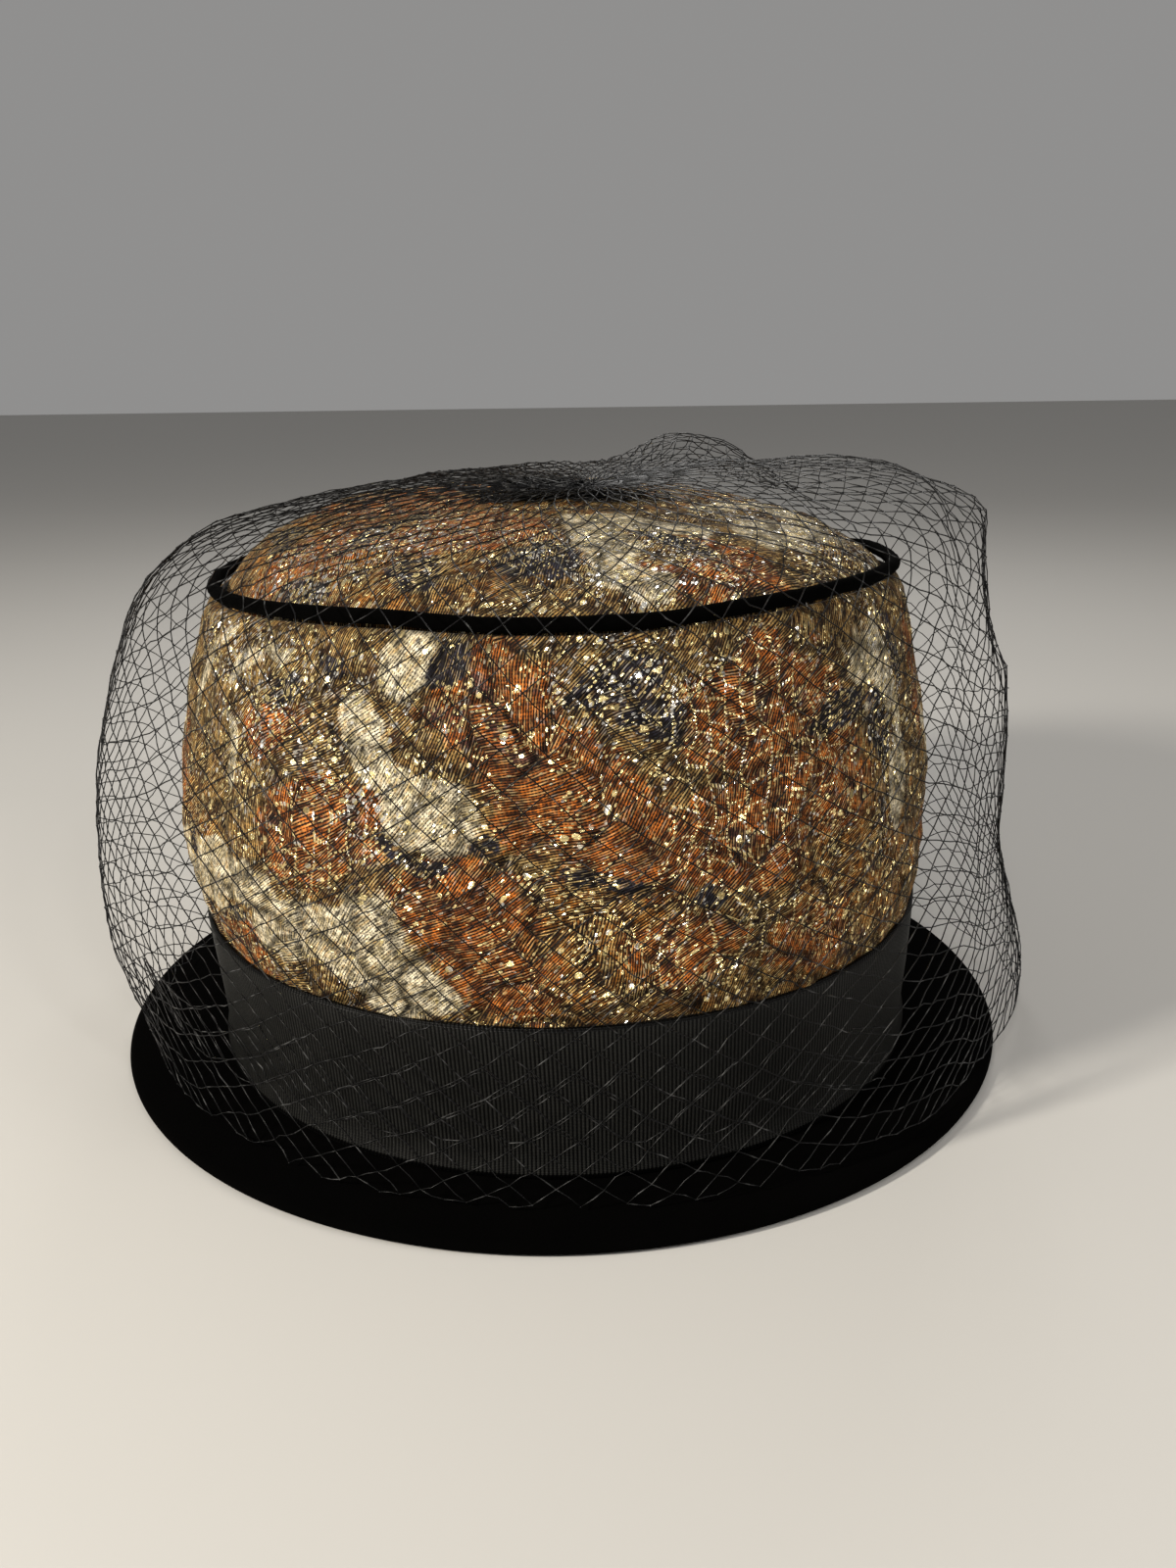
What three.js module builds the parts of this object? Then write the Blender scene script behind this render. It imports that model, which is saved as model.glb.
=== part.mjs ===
// A pillbox hat: a stiff oval brocade crown with a ribbed ribbon round its foot, a narrow velvet
// brim, a velvet piping round its top edge, and a coarse net veil that is gathered on the crown
// and hangs over it to the brim. Millimetres; the hat stands at z = 0 and its front faces -Y.

import * as THREE from 'three';
import { mergeVertices } from 'three/addons/utils/BufferGeometryUtils.js';

// The head's opening and the crown that stands round it
const HEAD_HALF_WIDTH = 85.2; // axis to the inside of the crown's foot, left to right
const OVAL_EXTRA = 9.7; // how much further every oval reaches front to back
const CROWN_WALL = 2.8; // covered stiffening of the side
const CROWN_HEIGHT = 120.5; // table to the middle of the piping
const CROWN_BULGE = 9; // how far the side swells past a straight line from foot to top
const SIDE_FLAT = 2; // how much less the crown's ovals reach at their flatter sides
const TOP_HALF_WIDTH = 85; // axis to the middle of the piping, left to right

// The tip, which closes the crown
const TIP_WALL = 2.6;
const TIP_RISE = 25.5; // height of the dome over its tucked edge
const TIP_TUCK = 8; // how far its edge lies below the middle of the piping

// Trim
const PIPING_DIAMETER = 3.2;
const RIBBON_HEIGHT = 35;
const RIBBON_THICKNESS = 1;
const RIBBON_FLARE = 1.6; // how far the ribbon's foot spreads onto the brim
const BRIM_REACH = 24.6; // outside of the ribbon to the brim's edge
const BRIM_THICKNESS = 3;
const BRIM_RISE = 1; // how much higher the brim lies at the crown than at its edge
const BRIM_FLAT = 9; // width of the hem that rests on the table
const BRIM_ROUND = 1.3; // rounding of the folded edge

// The veil
const VEIL_THICKNESS = 1.2;
const VEIL_FULLNESS = 24; // how far the net stands off the crown where it is fullest
const VEIL_STRAND = 6; // width of the bars between two gaps
const GATHER_RADIUS = 22; // the bunched net in the middle of the crown
const GATHER_RISE = 4; // height of the knot over the bunched net
const GATHER_PLEAT = 1.2; // depth of the radial pleats
const GATHER_SIDE = 9; // the knot's place, from the axis towards +X
const GATHER_FRONT = 26; // and towards the front
const GAPS_ROUND = 20;

const CLEARANCE = 0.3; // between pieces that touch
const SIDES = 64;

// The side's swell from foot to top, as shares of its height and of the bulge
const sideRows = [
  { up: 0, left: 0, right: 0 },
  { up: 0.31, left: 0.45, right: 0.45 },
  { up: 0.4, left: 0.78, right: 0.6 },
  { up: 0.5, left: 0.99, right: 0.74 },
  { up: 0.6, left: 0.99, right: 0.83 },
  { up: 0.72, left: 0.85, right: 0.7 },
  { up: 0.83, left: 0.67, right: 0.5 },
  { up: 0.93, left: 0.3, right: 0.33 },
  { up: 1, left: 0, right: 0 },
];

// The dome from its middle to its edge, as shares of its half width and of its rise
const tipRows = [
  { out: 0, up: 1 },
  { out: 0.3, up: 0.94 },
  { out: 0.53, up: 0.86 },
  { out: 0.72, up: 0.74 },
  { out: 0.84, up: 0.58 },
  { out: 0.92, up: 0.43 },
  { out: 0.97, up: 0.29 },
  { out: 1, up: 0 },
];

// How the net hangs, round from +X through the back: shares of its fullness over the crown's top,
// outwards and upwards at the piping, high and low on the side, and the hem's share of the brim
const veilRows = [
  { degrees: 0, crown: 0.38, edgeOut: 0.54, edgeUp: 0.54, high: 0.78, low: 1.04, hem: 0.9 },
  { degrees: 45, crown: 0.58, edgeOut: 0.44, edgeUp: 0.56, high: 0.76, low: 0.88, hem: 0.86 },
  { degrees: 90, crown: 0.44, edgeOut: 0.3, edgeUp: 0.36, high: 0.6, low: 0.76, hem: 0.8 },
  { degrees: 135, crown: 0.2, edgeOut: 0.34, edgeUp: 0.16, high: 0.64, low: 0.86, hem: 0.8 },
  { degrees: 180, crown: 0.14, edgeOut: 0.4, edgeUp: 0.03, high: 0.74, low: 1, hem: 0.8 },
  { degrees: 225, crown: 0.12, edgeOut: 0.26, edgeUp: 0.08, high: 0.46, low: 0.6, hem: 0.64 },
  { degrees: 270, crown: 0.12, edgeOut: 0.16, edgeUp: 0.12, high: 0.17, low: 0.26, hem: 0.58 },
  { degrees: 315, crown: 0.2, edgeOut: 0.3, edgeUp: 0.28, high: 0.42, low: 0.66, hem: 0.86 },
];

// Where the net is measured: shares of the tip's half width, and of the side's height
const CROWN_STATION = 0.58;
const HIGH_STATION = 0.74;
const LOW_STATION = 0.36;

// Steps of the net's crossings down a section, as shares between the stations that it passes:
// 0 is the gather's edge, 1 over the crown, 2 the piping, 3 high, 4 low on the side, 5 the hem
const crossings = [0, 1, 2, 2.7, 3.4, 4, 4.5, 5];
const LAST_STEP = 5;

const FOOT = BRIM_THICKNESS + BRIM_RISE + CLEARANCE;
const SIDE_TOP = CROWN_HEIGHT - PIPING_DIAMETER / 2 - CLEARANCE;
const SIDE_HEIGHT = SIDE_TOP - FOOT;
const FOOT_OUT = HEAD_HALF_WIDTH + CROWN_WALL;
const TOP_OUT = TOP_HALF_WIDTH + CROWN_WALL / 4;
const TIP_OUT = TOP_OUT - CROWN_WALL - CLEARANCE;
const TIP_FOOT = CROWN_HEIGHT - TIP_TUCK;
const RIBBON_OUT = FOOT_OUT + CLEARANCE + RIBBON_THICKNESS;
const BRIM_OUT = RIBBON_OUT + BRIM_REACH;

// Linear reading of a table between its rows
function readRow(rows, key, at, column) {
  const next = Math.max(1, rows.findIndex((row) => row[key] >= at));
  const from = rows[next - 1];
  const to = rows[next];
  const share = (at - from[key]) / (to[key] - from[key]);
  return THREE.MathUtils.lerp(from[column], to[column], share);
}

// A point of an oval: small ovals near the middle are drawn out in step with their size
function ovalPoint(out, up, angle) {
  const extra = OVAL_EXTRA * Math.min(1, out / TIP_OUT);
  return new THREE.Vector3(out * Math.cos(angle), (out + extra) * Math.sin(angle), up);
}

// The crown's ovals are flatter than the brim's at the left and right
function crownPoint(out, up, angle) {
  const flat = SIDE_FLAT * Math.cos(angle) ** 6 * Math.min(1, out / TIP_OUT);
  return ovalPoint(out - flat, up, angle);
}

// How far the crown's side reaches at a share of its height
function sideOut(share, angle) {
  const rightness = 0.5 + 0.5 * Math.cos(angle);
  const left = readRow(sideRows, 'up', share, 'left');
  const right = readRow(sideRows, 'up', share, 'right');
  const swell = THREE.MathUtils.lerp(left, right, rightness);
  return THREE.MathUtils.lerp(FOOT_OUT, TOP_OUT, share) + CROWN_BULGE * swell;
}

// The height of the dome at a distance from the axis
function tipHeight(out) {
  return TIP_FOOT + TIP_RISE * readRow(tipRows, 'out', Math.min(1, out / TIP_OUT), 'up');
}

// The height of the brim's upper face at a distance from the axis
function brimHeight(out) {
  const share = (BRIM_OUT - out) / (BRIM_OUT - HEAD_HALF_WIDTH);
  return BRIM_THICKNESS + BRIM_RISE * share;
}

// Faces that vanish where a section meets the axis are taken out
function withoutEmptyFaces(geometry) {
  const kept = [];
  const index = geometry.index.array;
  for (let i = 0; i < index.length; i += 3) {
    const [a, b, c] = [index[i], index[i + 1], index[i + 2]];
    if (a !== b && b !== c && c !== a) {
      kept.push(a, b, c);
    }
  }
  geometry.setIndex(kept);
  return geometry;
}

// A section, given counter-clockwise as { out, up }, turned about the axis and drawn into an oval
function turned(section, place) {
  const points = section.map((corner) => new THREE.Vector2(corner.out, corner.up));
  const lathe = new THREE.LatheGeometry(points, SIDES);
  lathe.deleteAttribute('normal');
  lathe.deleteAttribute('uv');
  const position = lathe.attributes.position;
  for (let i = 0; i < position.count; i += 1) {
    const out = Math.hypot(position.getX(i), position.getZ(i));
    const angle = Math.atan2(-position.getZ(i), position.getX(i));
    const point = place(out, position.getY(i), angle);
    position.setXYZ(i, point.x, point.y, point.z);
  }
  return withoutEmptyFaces(mergeVertices(lathe));
}

function closed(section) {
  return [...section, section[0]];
}

function brimGeometry() {
  const flatFrom = BRIM_OUT - BRIM_ROUND - BRIM_FLAT;
  return turned(
    closed([
      { out: HEAD_HALF_WIDTH, up: BRIM_RISE },
      { out: flatFrom, up: 0 },
      { out: BRIM_OUT - BRIM_ROUND, up: 0 },
      { out: BRIM_OUT - BRIM_ROUND * 0.3, up: BRIM_ROUND * 0.3 },
      { out: BRIM_OUT, up: BRIM_ROUND },
      { out: BRIM_OUT - BRIM_ROUND * 0.3, up: BRIM_THICKNESS - BRIM_ROUND * 0.3 },
      { out: BRIM_OUT - BRIM_ROUND, up: brimHeight(BRIM_OUT - BRIM_ROUND) },
      { out: HEAD_HALF_WIDTH, up: brimHeight(HEAD_HALF_WIDTH) },
    ]),
    ovalPoint,
  );
}

// The side is turned as a plain wall whose heights are shares, and then given its swell
function crownSideGeometry() {
  const outside = sideRows.map((row) => ({ out: FOOT_OUT, up: row.up }));
  const inside = sideRows.map((row) => ({ out: HEAD_HALF_WIDTH, up: row.up })).reverse();
  return turned(closed([...outside, ...inside]), (out, share, angle) => {
    const inwards = FOOT_OUT - out;
    return crownPoint(sideOut(share, angle) - inwards, FOOT + SIDE_HEIGHT * share, angle);
  });
}

function crownTipGeometry() {
  const inner = TIP_OUT - TIP_WALL;
  const outside = tipRows.map((row) => ({ out: TIP_OUT * row.out, up: TIP_FOOT + TIP_RISE * row.up }));
  const inside = tipRows.map((row) => ({ out: inner * row.out, up: TIP_FOOT + (TIP_RISE - TIP_WALL) * row.up }));
  return turned([...inside, ...outside.reverse()], crownPoint);
}

function pipingGeometry() {
  const corners = 8;
  const section = [];
  for (let i = 0; i < corners; i += 1) {
    const angle = (2 * Math.PI * i) / corners;
    section.push({
      out: TOP_HALF_WIDTH + (PIPING_DIAMETER / 2) * Math.cos(angle),
      up: CROWN_HEIGHT + (PIPING_DIAMETER / 2) * Math.sin(angle),
    });
  }
  return turned(closed(section), crownPoint);
}

// The ribbon lies on the side's own swell and spreads a little where it meets the brim
function ribbonGeometry() {
  const heights = [0, 0.18, 1];
  const under = FOOT_OUT + CLEARANCE;
  const outside = heights.map((up) => ({ out: under + RIBBON_THICKNESS, up }));
  const inside = heights.map((up) => ({ out: under, up })).reverse();
  return turned(closed([...outside, ...inside]), (out, up, angle) => {
    const share = (RIBBON_HEIGHT / SIDE_HEIGHT) * up;
    const flare = up === 0 ? RIBBON_FLARE : 0;
    const reach = sideOut(share, angle) + out - FOOT_OUT + flare;
    return crownPoint(reach, FOOT + RIBBON_HEIGHT * up, angle);
  });
}

// One reading of the veil's table, smooth from row to row right round the hat
function veilShare(column, angle) {
  const turn = THREE.MathUtils.euclideanModulo(THREE.MathUtils.radToDeg(angle), 360);
  const step = 360 / veilRows.length;
  const index = Math.floor(turn / step);
  const from = veilRows[index][column];
  const to = veilRows[(index + 1) % veilRows.length][column];
  return THREE.MathUtils.lerp(from, to, THREE.MathUtils.smoothstep(turn / step - index, 0, 1));
}

// The net's section at an angle, as a curve of (out, 0, up) from the gather's edge to the hem
function veilSection(angle) {
  const stand = (column) => VEIL_FULLNESS * veilShare(column, angle);
  const station = (out, up) => new THREE.Vector3(out, 0, up);
  const over = TIP_OUT * CROWN_STATION;
  const overPiping = CROWN_HEIGHT + PIPING_DIAMETER / 2;
  const hem = RIBBON_OUT + BRIM_REACH * veilShare('hem', angle);
  const curve = new THREE.CatmullRomCurve3([
    station(GATHER_RADIUS, tipHeight(GATHER_RADIUS) + CLEARANCE + GATHER_PLEAT),
    station(over, tipHeight(over) + stand('crown')),
    station(TOP_HALF_WIDTH + stand('edgeOut'), overPiping + stand('edgeUp')),
    station(sideOut(HIGH_STATION, angle) + stand('high'), FOOT + SIDE_HEIGHT * HIGH_STATION),
    station(sideOut(LOW_STATION, angle) + stand('low'), FOOT + SIDE_HEIGHT * LOW_STATION),
    station(hem, brimHeight(hem) + CLEARANCE),
  ]);
  return curve;
}

// The point of the net at an angle and a step down its section; the top leans to the gather
function veilPoint(angle, step) {
  const inner = veilSection(angle).getPoint(step / LAST_STEP);
  const point = ovalPoint(inner.x, inner.z, angle);
  const lean = Math.max(0, 1 - inner.x / TIP_OUT);
  point.x += GATHER_SIDE * lean;
  point.y -= GATHER_FRONT * lean;
  return point;
}

// The net's two faces are one pattern of flat faces, laid twice a thickness apart and joined by a
// wall along every edge that only one face uses: round each gap and along the hem
function shell(places, faces) {
  const count = places.length;
  const uses = new Map();
  for (const face of faces) {
    face.forEach((from, i) => {
      const to = face[(i + 1) % 3];
      uses.set(`${from},${to}`, [from, to]);
    });
  }
  const index = faces.flat();
  faces.forEach(([a, b, c]) => index.push(a + count, c + count, b + count));
  for (const [from, to] of uses.values()) {
    if (!uses.has(`${to},${from}`)) {
      index.push(to, from, from + count, to, from + count, to + count);
    }
  }
  const outer = places.map((place) => place.point.clone().addScaledVector(place.normal, VEIL_THICKNESS));
  const all = [...outer, ...places.map((place) => place.point)];
  const geometry = new THREE.BufferGeometry().setFromPoints(all);
  geometry.setIndex(index);
  return geometry;
}

function veilPlace(angle, step) {
  const small = 0.02;
  const point = veilPoint(angle, step);
  const round = veilPoint(angle + small, step).sub(veilPoint(angle - small, step));
  const low = THREE.MathUtils.clamp(step, small, LAST_STEP - small);
  const down = veilPoint(angle, low + small).sub(veilPoint(angle, low - small));
  const normal = down.cross(round).normalize();
  return { point, normal };
}

// The gaps shrink about their middles until a bar of the strand's width is left between two
function gapCorners(places, corners) {
  const middle = new THREE.Vector3();
  corners.forEach((id) => middle.addScaledVector(places[id].point, 1 / corners.length));
  const [top, right, bottom, left] = corners.map((id) => places[id].point);
  const tall = top.distanceTo(bottom);
  const wide = left.distanceTo(right);
  const inscribed = (tall * wide) / Math.hypot(tall, wide);
  const share = Math.max(0.3, 1 - VEIL_STRAND / inscribed);
  return corners.map((id) => ({
    point: middle.clone().lerp(places[id].point, share),
    normal: places[id].normal,
  }));
}

// Rings of bunched net from the knot to the first crossings, pleated along radial lines
function gatherRings(places, faces, pitch) {
  const rings = [0.3, 0.65, 1];
  const knot = places.length;
  const top = tipHeight(0) + CLEARANCE + GATHER_RISE;
  places.push({ point: new THREE.Vector3(GATHER_SIDE, -GATHER_FRONT, top), normal: new THREE.Vector3(0, 0, 1) });
  const ringIds = rings.map((share) => {
    const ids = [];
    for (let i = 0; i < 2 * GAPS_ROUND; i += 1) {
      const edge = veilPlace((pitch * i) / 2, 0);
      const point = places[knot].point.clone().lerp(edge.point, share);
      const pleat = i % 2 === 0 ? GATHER_PLEAT : 0;
      point.z = THREE.MathUtils.lerp(edge.point.z, top, (1 - share) ** 2) + pleat * share;
      ids.push(places.length);
      places.push({ point, normal: new THREE.Vector3(0, 0, 1) });
    }
    return ids;
  });
  ringIds.forEach((ids, ring) => {
    ids.forEach((id, i) => {
      const next = ids[(i + 1) % ids.length];
      if (ring === 0) {
        faces.push([knot, id, next]);
        return;
      }
      const inner = ringIds[ring - 1];
      faces.push([inner[i], id, next], [inner[i], next, inner[(i + 1) % inner.length]]);
    });
  });
  return ringIds[ringIds.length - 1];
}

function veilGeometry() {
  const places = [];
  const faces = [];
  const pitch = (2 * Math.PI) / GAPS_ROUND;
  const edge = gatherRings(places, faces, pitch);
  const levels = [edge.filter((id, i) => i % 2 === 0)];
  for (let level = 1; level < crossings.length; level += 1) {
    const shift = level % 2 === 0 ? 0 : pitch / 2;
    const ids = [];
    for (let i = 0; i < GAPS_ROUND; i += 1) {
      ids.push(places.length);
      places.push(veilPlace(pitch * i + shift, crossings[level]));
    }
    levels.push(ids);
  }
  const at = (level, i) => levels[level][THREE.MathUtils.euclideanModulo(i, GAPS_ROUND)];
  for (let i = 0; i < GAPS_ROUND; i += 1) {
    const valley = edge[2 * i + 1];
    faces.push([at(0, i), at(1, i), valley], [valley, at(1, i), at(0, i + 1)]);
  }
  for (let level = 1; level < crossings.length - 1; level += 1) {
    const shifted = level % 2;
    for (let i = 0; i < GAPS_ROUND; i += 1) {
      const next = i + shifted;
      const corners = [at(level - 1, next), at(level, i + 1), at(level + 1, next), at(level, i)];
      const gap = gapCorners(places, corners).map((place) => places.push(place) - 1);
      corners.forEach((from, side) => {
        const to = (side + 1) % corners.length;
        faces.push([from, gap[side], corners[to]], [corners[to], gap[side], gap[to]]);
      });
    }
  }
  return shell(places, faces);
}

function material(color, roughness, metalness) {
  return new THREE.MeshStandardMaterial({ color, roughness, metalness });
}

const velvet = material(0x0b0b0d, 0.95, 0);
const grosgrain = material(0x17171a, 0.7, 0);
const brocade = material(0x9a7a4c, 0.5, 0.35);
const net = material(0x1b1b1d, 0.6, 0);

function named(name, geometry, finish) {
  const mesh = new THREE.Mesh(geometry, finish);
  mesh.name = name;
  return mesh;
}

const hat = new THREE.Group();
hat.add(
  named('brim', brimGeometry(), velvet),
  named('crown_side', crownSideGeometry(), brocade),
  named('crown_tip', crownTipGeometry(), brocade),
  named('piping', pipingGeometry(), velvet),
  named('hat_band', ribbonGeometry(), grosgrain),
  named('veil', veilGeometry(), net),
);

export default hat;
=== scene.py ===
import math
import random

import bpy
import numpy as np
from mathutils import Matrix, Vector, noise


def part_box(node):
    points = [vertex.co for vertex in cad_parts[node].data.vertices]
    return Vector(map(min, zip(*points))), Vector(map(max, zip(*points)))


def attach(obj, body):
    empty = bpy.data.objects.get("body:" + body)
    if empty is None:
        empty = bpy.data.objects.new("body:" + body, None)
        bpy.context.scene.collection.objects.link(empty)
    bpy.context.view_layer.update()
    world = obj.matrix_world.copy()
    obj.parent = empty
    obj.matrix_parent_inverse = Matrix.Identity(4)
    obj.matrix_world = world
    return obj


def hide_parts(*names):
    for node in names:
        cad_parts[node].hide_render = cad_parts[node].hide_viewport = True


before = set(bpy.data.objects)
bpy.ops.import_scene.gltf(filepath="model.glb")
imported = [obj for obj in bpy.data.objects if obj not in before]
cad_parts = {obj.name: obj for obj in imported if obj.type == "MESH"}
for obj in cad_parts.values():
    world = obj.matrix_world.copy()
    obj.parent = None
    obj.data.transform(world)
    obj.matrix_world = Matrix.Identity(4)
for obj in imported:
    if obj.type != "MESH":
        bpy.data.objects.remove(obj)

noise.seed_set(11)  # without a seed the noise vectors differ from run to run
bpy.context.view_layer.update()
mm = 0.001
bodyName = "root"

brimLow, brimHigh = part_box("brim")
sideLow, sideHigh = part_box("crown_side")
bandLow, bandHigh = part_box("hat_band")
tipLow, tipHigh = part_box("crown_tip")
pipeLow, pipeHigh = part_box("piping")

sideFlat = 2.0 * mm  # the crown's ovals are flatter than the brim's at the left and right
ovalExtra = brimHigh.y - brimHigh.x  # every oval is this much deeper than wide, each way
tipHalfWidth = tipHigh.x + sideFlat
bandHalfWidth = bandHigh.x + sideFlat
pipeRadius = (pipeHigh.z - pipeLow.z) / 2
pipeHeight = (pipeHigh.z + pipeLow.z) / 2
pipeHalfWidth = pipeHigh.x + sideFlat - pipeRadius

# how far the top seam lies over its even height, round from the front in degrees to the right
seamTable = [
    {"at": -180, "lift": -1.0 * mm},
    {"at": -130, "lift": -3.4 * mm},
    {"at": -90, "lift": -3.4 * mm},
    {"at": -55, "lift": -2.3 * mm},
    {"at": -36, "lift": -0.8 * mm},
    {"at": -20, "lift": 0.0},
    {"at": 0, "lift": -0.6 * mm},
    {"at": 14, "lift": -0.4 * mm},
    {"at": 25, "lift": 0.6 * mm},
    {"at": 45, "lift": 1.3 * mm},
    {"at": 60, "lift": 1.2 * mm},
    {"at": 80, "lift": -0.2 * mm},
    {"at": 110, "lift": -2.4 * mm},
    {"at": 140, "lift": -2.0 * mm},
    {"at": 180, "lift": -1.0 * mm},
]


# tools for modelling by hand
def deselectAll():
    if bpy.context.mode != "OBJECT":
        bpy.ops.object.mode_set(mode="OBJECT")
    bpy.ops.object.select_all(action="DESELECT")


def takeUp(piece):
    deselectAll()
    piece.select_set(True)
    bpy.context.view_layer.objects.active = piece


def applyModifiers(piece):
    takeUp(piece)
    for modifier in list(piece.modifiers):
        bpy.ops.object.modifier_apply(modifier=modifier.name)


def smoothen(piece):
    takeUp(piece)
    bpy.ops.object.shade_smooth()


def halfDepth(halfWidth):
    return halfWidth + ovalExtra * min(1, halfWidth / tipHalfWidth)


def ring(halfWidth, up, shift=0.0):
    return {"wide": halfWidth, "deep": halfDepth(halfWidth), "up": up, "shift": shift}


# one oval ring is extruded into the next, and each is drawn to its own size
def ringStack(name, segments, rings):
    deselectAll()
    now = rings[0]
    bpy.ops.mesh.primitive_circle_add(vertices=segments, radius=1, fill_type="NOTHING")
    piece = bpy.context.object
    piece.name = name
    bpy.ops.object.mode_set(mode="EDIT")
    bpy.ops.mesh.select_all(action="SELECT")
    bpy.ops.transform.resize(value=(now["wide"], now["deep"], 1), center_override=(0, 0, 0))
    bpy.ops.transform.translate(value=(now["shift"], 0, now["up"]))
    for then in rings[1:]:
        step = (then["shift"] - now["shift"], 0, then["up"] - now["up"])
        bpy.ops.mesh.extrude_edges_move(TRANSFORM_OT_translate={"value": step})
        grow = (then["wide"] / now["wide"], then["deep"] / now["deep"], 1)
        bpy.ops.transform.resize(value=grow, center_override=(then["shift"], 0, then["up"]))
        now = then
    return piece


# the last ring is bridged to the first, so that the wall closes on itself
def closeStack():
    bpy.ops.mesh.select_mode(type="EDGE")
    bpy.ops.mesh.select_all(action="DESELECT")
    bpy.ops.mesh.select_non_manifold()
    bpy.ops.mesh.bridge_edge_loops()
    faceOutwards()


def faceOutwards():
    bpy.ops.mesh.select_all(action="SELECT")
    bpy.ops.mesh.normals_make_consistent(inside=False)
    bpy.ops.object.mode_set(mode="OBJECT")


def subdivided(piece, levels):
    modifier = piece.modifiers.new("smooth cage", "SUBSURF")
    modifier.levels = levels
    modifier.render_levels = levels
    applyModifiers(piece)


def puckered(piece, group, name, kind, size, depth, middle=0.5):
    texture = bpy.data.textures.new(name, kind)
    texture.noise_scale = size
    if kind == "VORONOI":
        texture.weight_1 = -1
        texture.weight_2 = 1
        texture.noise_intensity = 1
    modifier = piece.modifiers.new(name, "DISPLACE")
    modifier.texture = texture
    modifier.texture_coords = "LOCAL"
    modifier.strength = depth
    modifier.mid_level = middle
    if group:
        modifier.vertex_group = group
    applyModifiers(piece)


def pointsOf(piece):
    count = len(piece.data.vertices)
    flat = np.zeros(count * 3, np.float32)
    piece.data.vertices.foreach_get("co", flat)
    return flat.reshape(-1, 3).astype(float)


def putPoints(piece, points):
    piece.data.vertices.foreach_set("co", points.astype(np.float32).ravel())
    piece.data.update()


# the crown's own shape: flatter sides, and a top seam that wanders up and down
def settled(points):
    x, y = points[:, 0], points[:, 1] * (brimHigh.x / brimHigh.y)
    spread = np.hypot(x, y)
    flat = sideFlat * (x / spread) ** 6 * np.minimum(1, spread / tipHalfWidth)
    points[:, 0] -= flat * x / spread
    points[:, 1] -= flat * points[:, 1] / spread
    turn = np.degrees(np.arctan2(x, -y))
    lift = np.interp(turn, [row["at"] for row in seamTable], [row["lift"] for row in seamTable])
    high = np.clip((points[:, 2] - bandHigh.z) / (sideHigh.z - bandHigh.z), 0, 1)
    middle = np.clip(spread / tipHalfWidth, 0, 1) ** 2
    points[:, 2] += lift * high ** 2 * middle
    return points


# a flat lay of the cloth in metres: round and up for the side, from above for the tip
def layWeave(piece, roundRadius):
    points = pointsOf(piece)
    layer = piece.data.uv_layers.new(name="weave")
    loops = np.zeros(len(piece.data.loops), np.int32)
    piece.data.loops.foreach_get("vertex_index", loops)
    if roundRadius:
        turn = np.arctan2(points[:, 0], -points[:, 1])
        flat = np.stack([turn * roundRadius, points[:, 2]], 1)[loops]
        starts = np.zeros(len(piece.data.polygons), np.int32)
        sizes = np.zeros(len(piece.data.polygons), np.int32)
        piece.data.polygons.foreach_get("loop_start", starts)
        piece.data.polygons.foreach_get("loop_total", sizes)
        face = np.repeat(np.arange(len(starts)), sizes)
        highest = np.maximum.reduceat(flat[:, 0], starts)[face]
        around = 2 * math.pi * roundRadius
        flat[:, 0] += np.where(highest - flat[:, 0] > around / 2, around, 0)
    else:
        flat = points[loops][:, :2]
    layer.data.foreach_set("uv", flat.astype(np.float32).ravel())


def faceVectors(piece, name):
    found = np.zeros(len(piece.data.polygons) * 3, np.float32)
    piece.data.polygons.foreach_get(name, found)
    return found.reshape(-1, 3)


def giveSecondMaterial(piece, chosen):
    piece.data.polygons.foreach_set("material_index", chosen.astype(np.int32))


def ownAttribute(piece, name, values):
    attribute = piece.data.color_attributes.new(name, "FLOAT_COLOR", "POINT")
    attribute.data.foreach_set("color", values.astype(np.float32).ravel())


def finished(piece, name, materials, replaced=()):
    piece.name = name
    piece.data.name = name
    piece.data.materials.clear()
    for material in materials:
        piece.data.materials.append(material)
    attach(piece, bodyName)
    if replaced:
        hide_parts(*replaced)
    print("made", name, len(piece.data.polygons), "faces")
    return piece


# tools for materials
def newMaterial(name):
    material = bpy.data.materials.new(name)
    material.use_nodes = True
    return material, material.node_tree, material.node_tree.nodes["Principled BSDF"]


def plug(tree, socket, value):
    if isinstance(value, bpy.types.NodeSocket):
        tree.links.new(value, socket)
    else:
        socket.default_value = value


def doMath(tree, operation, *values):
    node = tree.nodes.new("ShaderNodeMath")
    node.operation = operation
    for socket, value in zip(node.inputs, values):
        plug(tree, socket, value)
    return node.outputs[0]


def times(tree, first, second):
    return doMath(tree, "MULTIPLY", first, second)


def plus(tree, first, second):
    return doMath(tree, "ADD", first, second)


def minus(tree, first, second):
    return doMath(tree, "SUBTRACT", first, second)


def timesPlus(tree, first, second, third):
    return doMath(tree, "MULTIPLY_ADD", first, second, third)


def doVector(tree, operation, *values):
    node = tree.nodes.new("ShaderNodeVectorMath")
    node.operation = operation
    for socket, value in zip(node.inputs, values):
        plug(tree, socket, value)
    return node.outputs[0]


def scaled(tree, vector, factor):
    node = tree.nodes.new("ShaderNodeVectorMath")
    node.operation = "SCALE"
    plug(tree, node.inputs[0], vector)
    plug(tree, node.inputs["Scale"], factor)
    return node.outputs[0]


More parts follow.
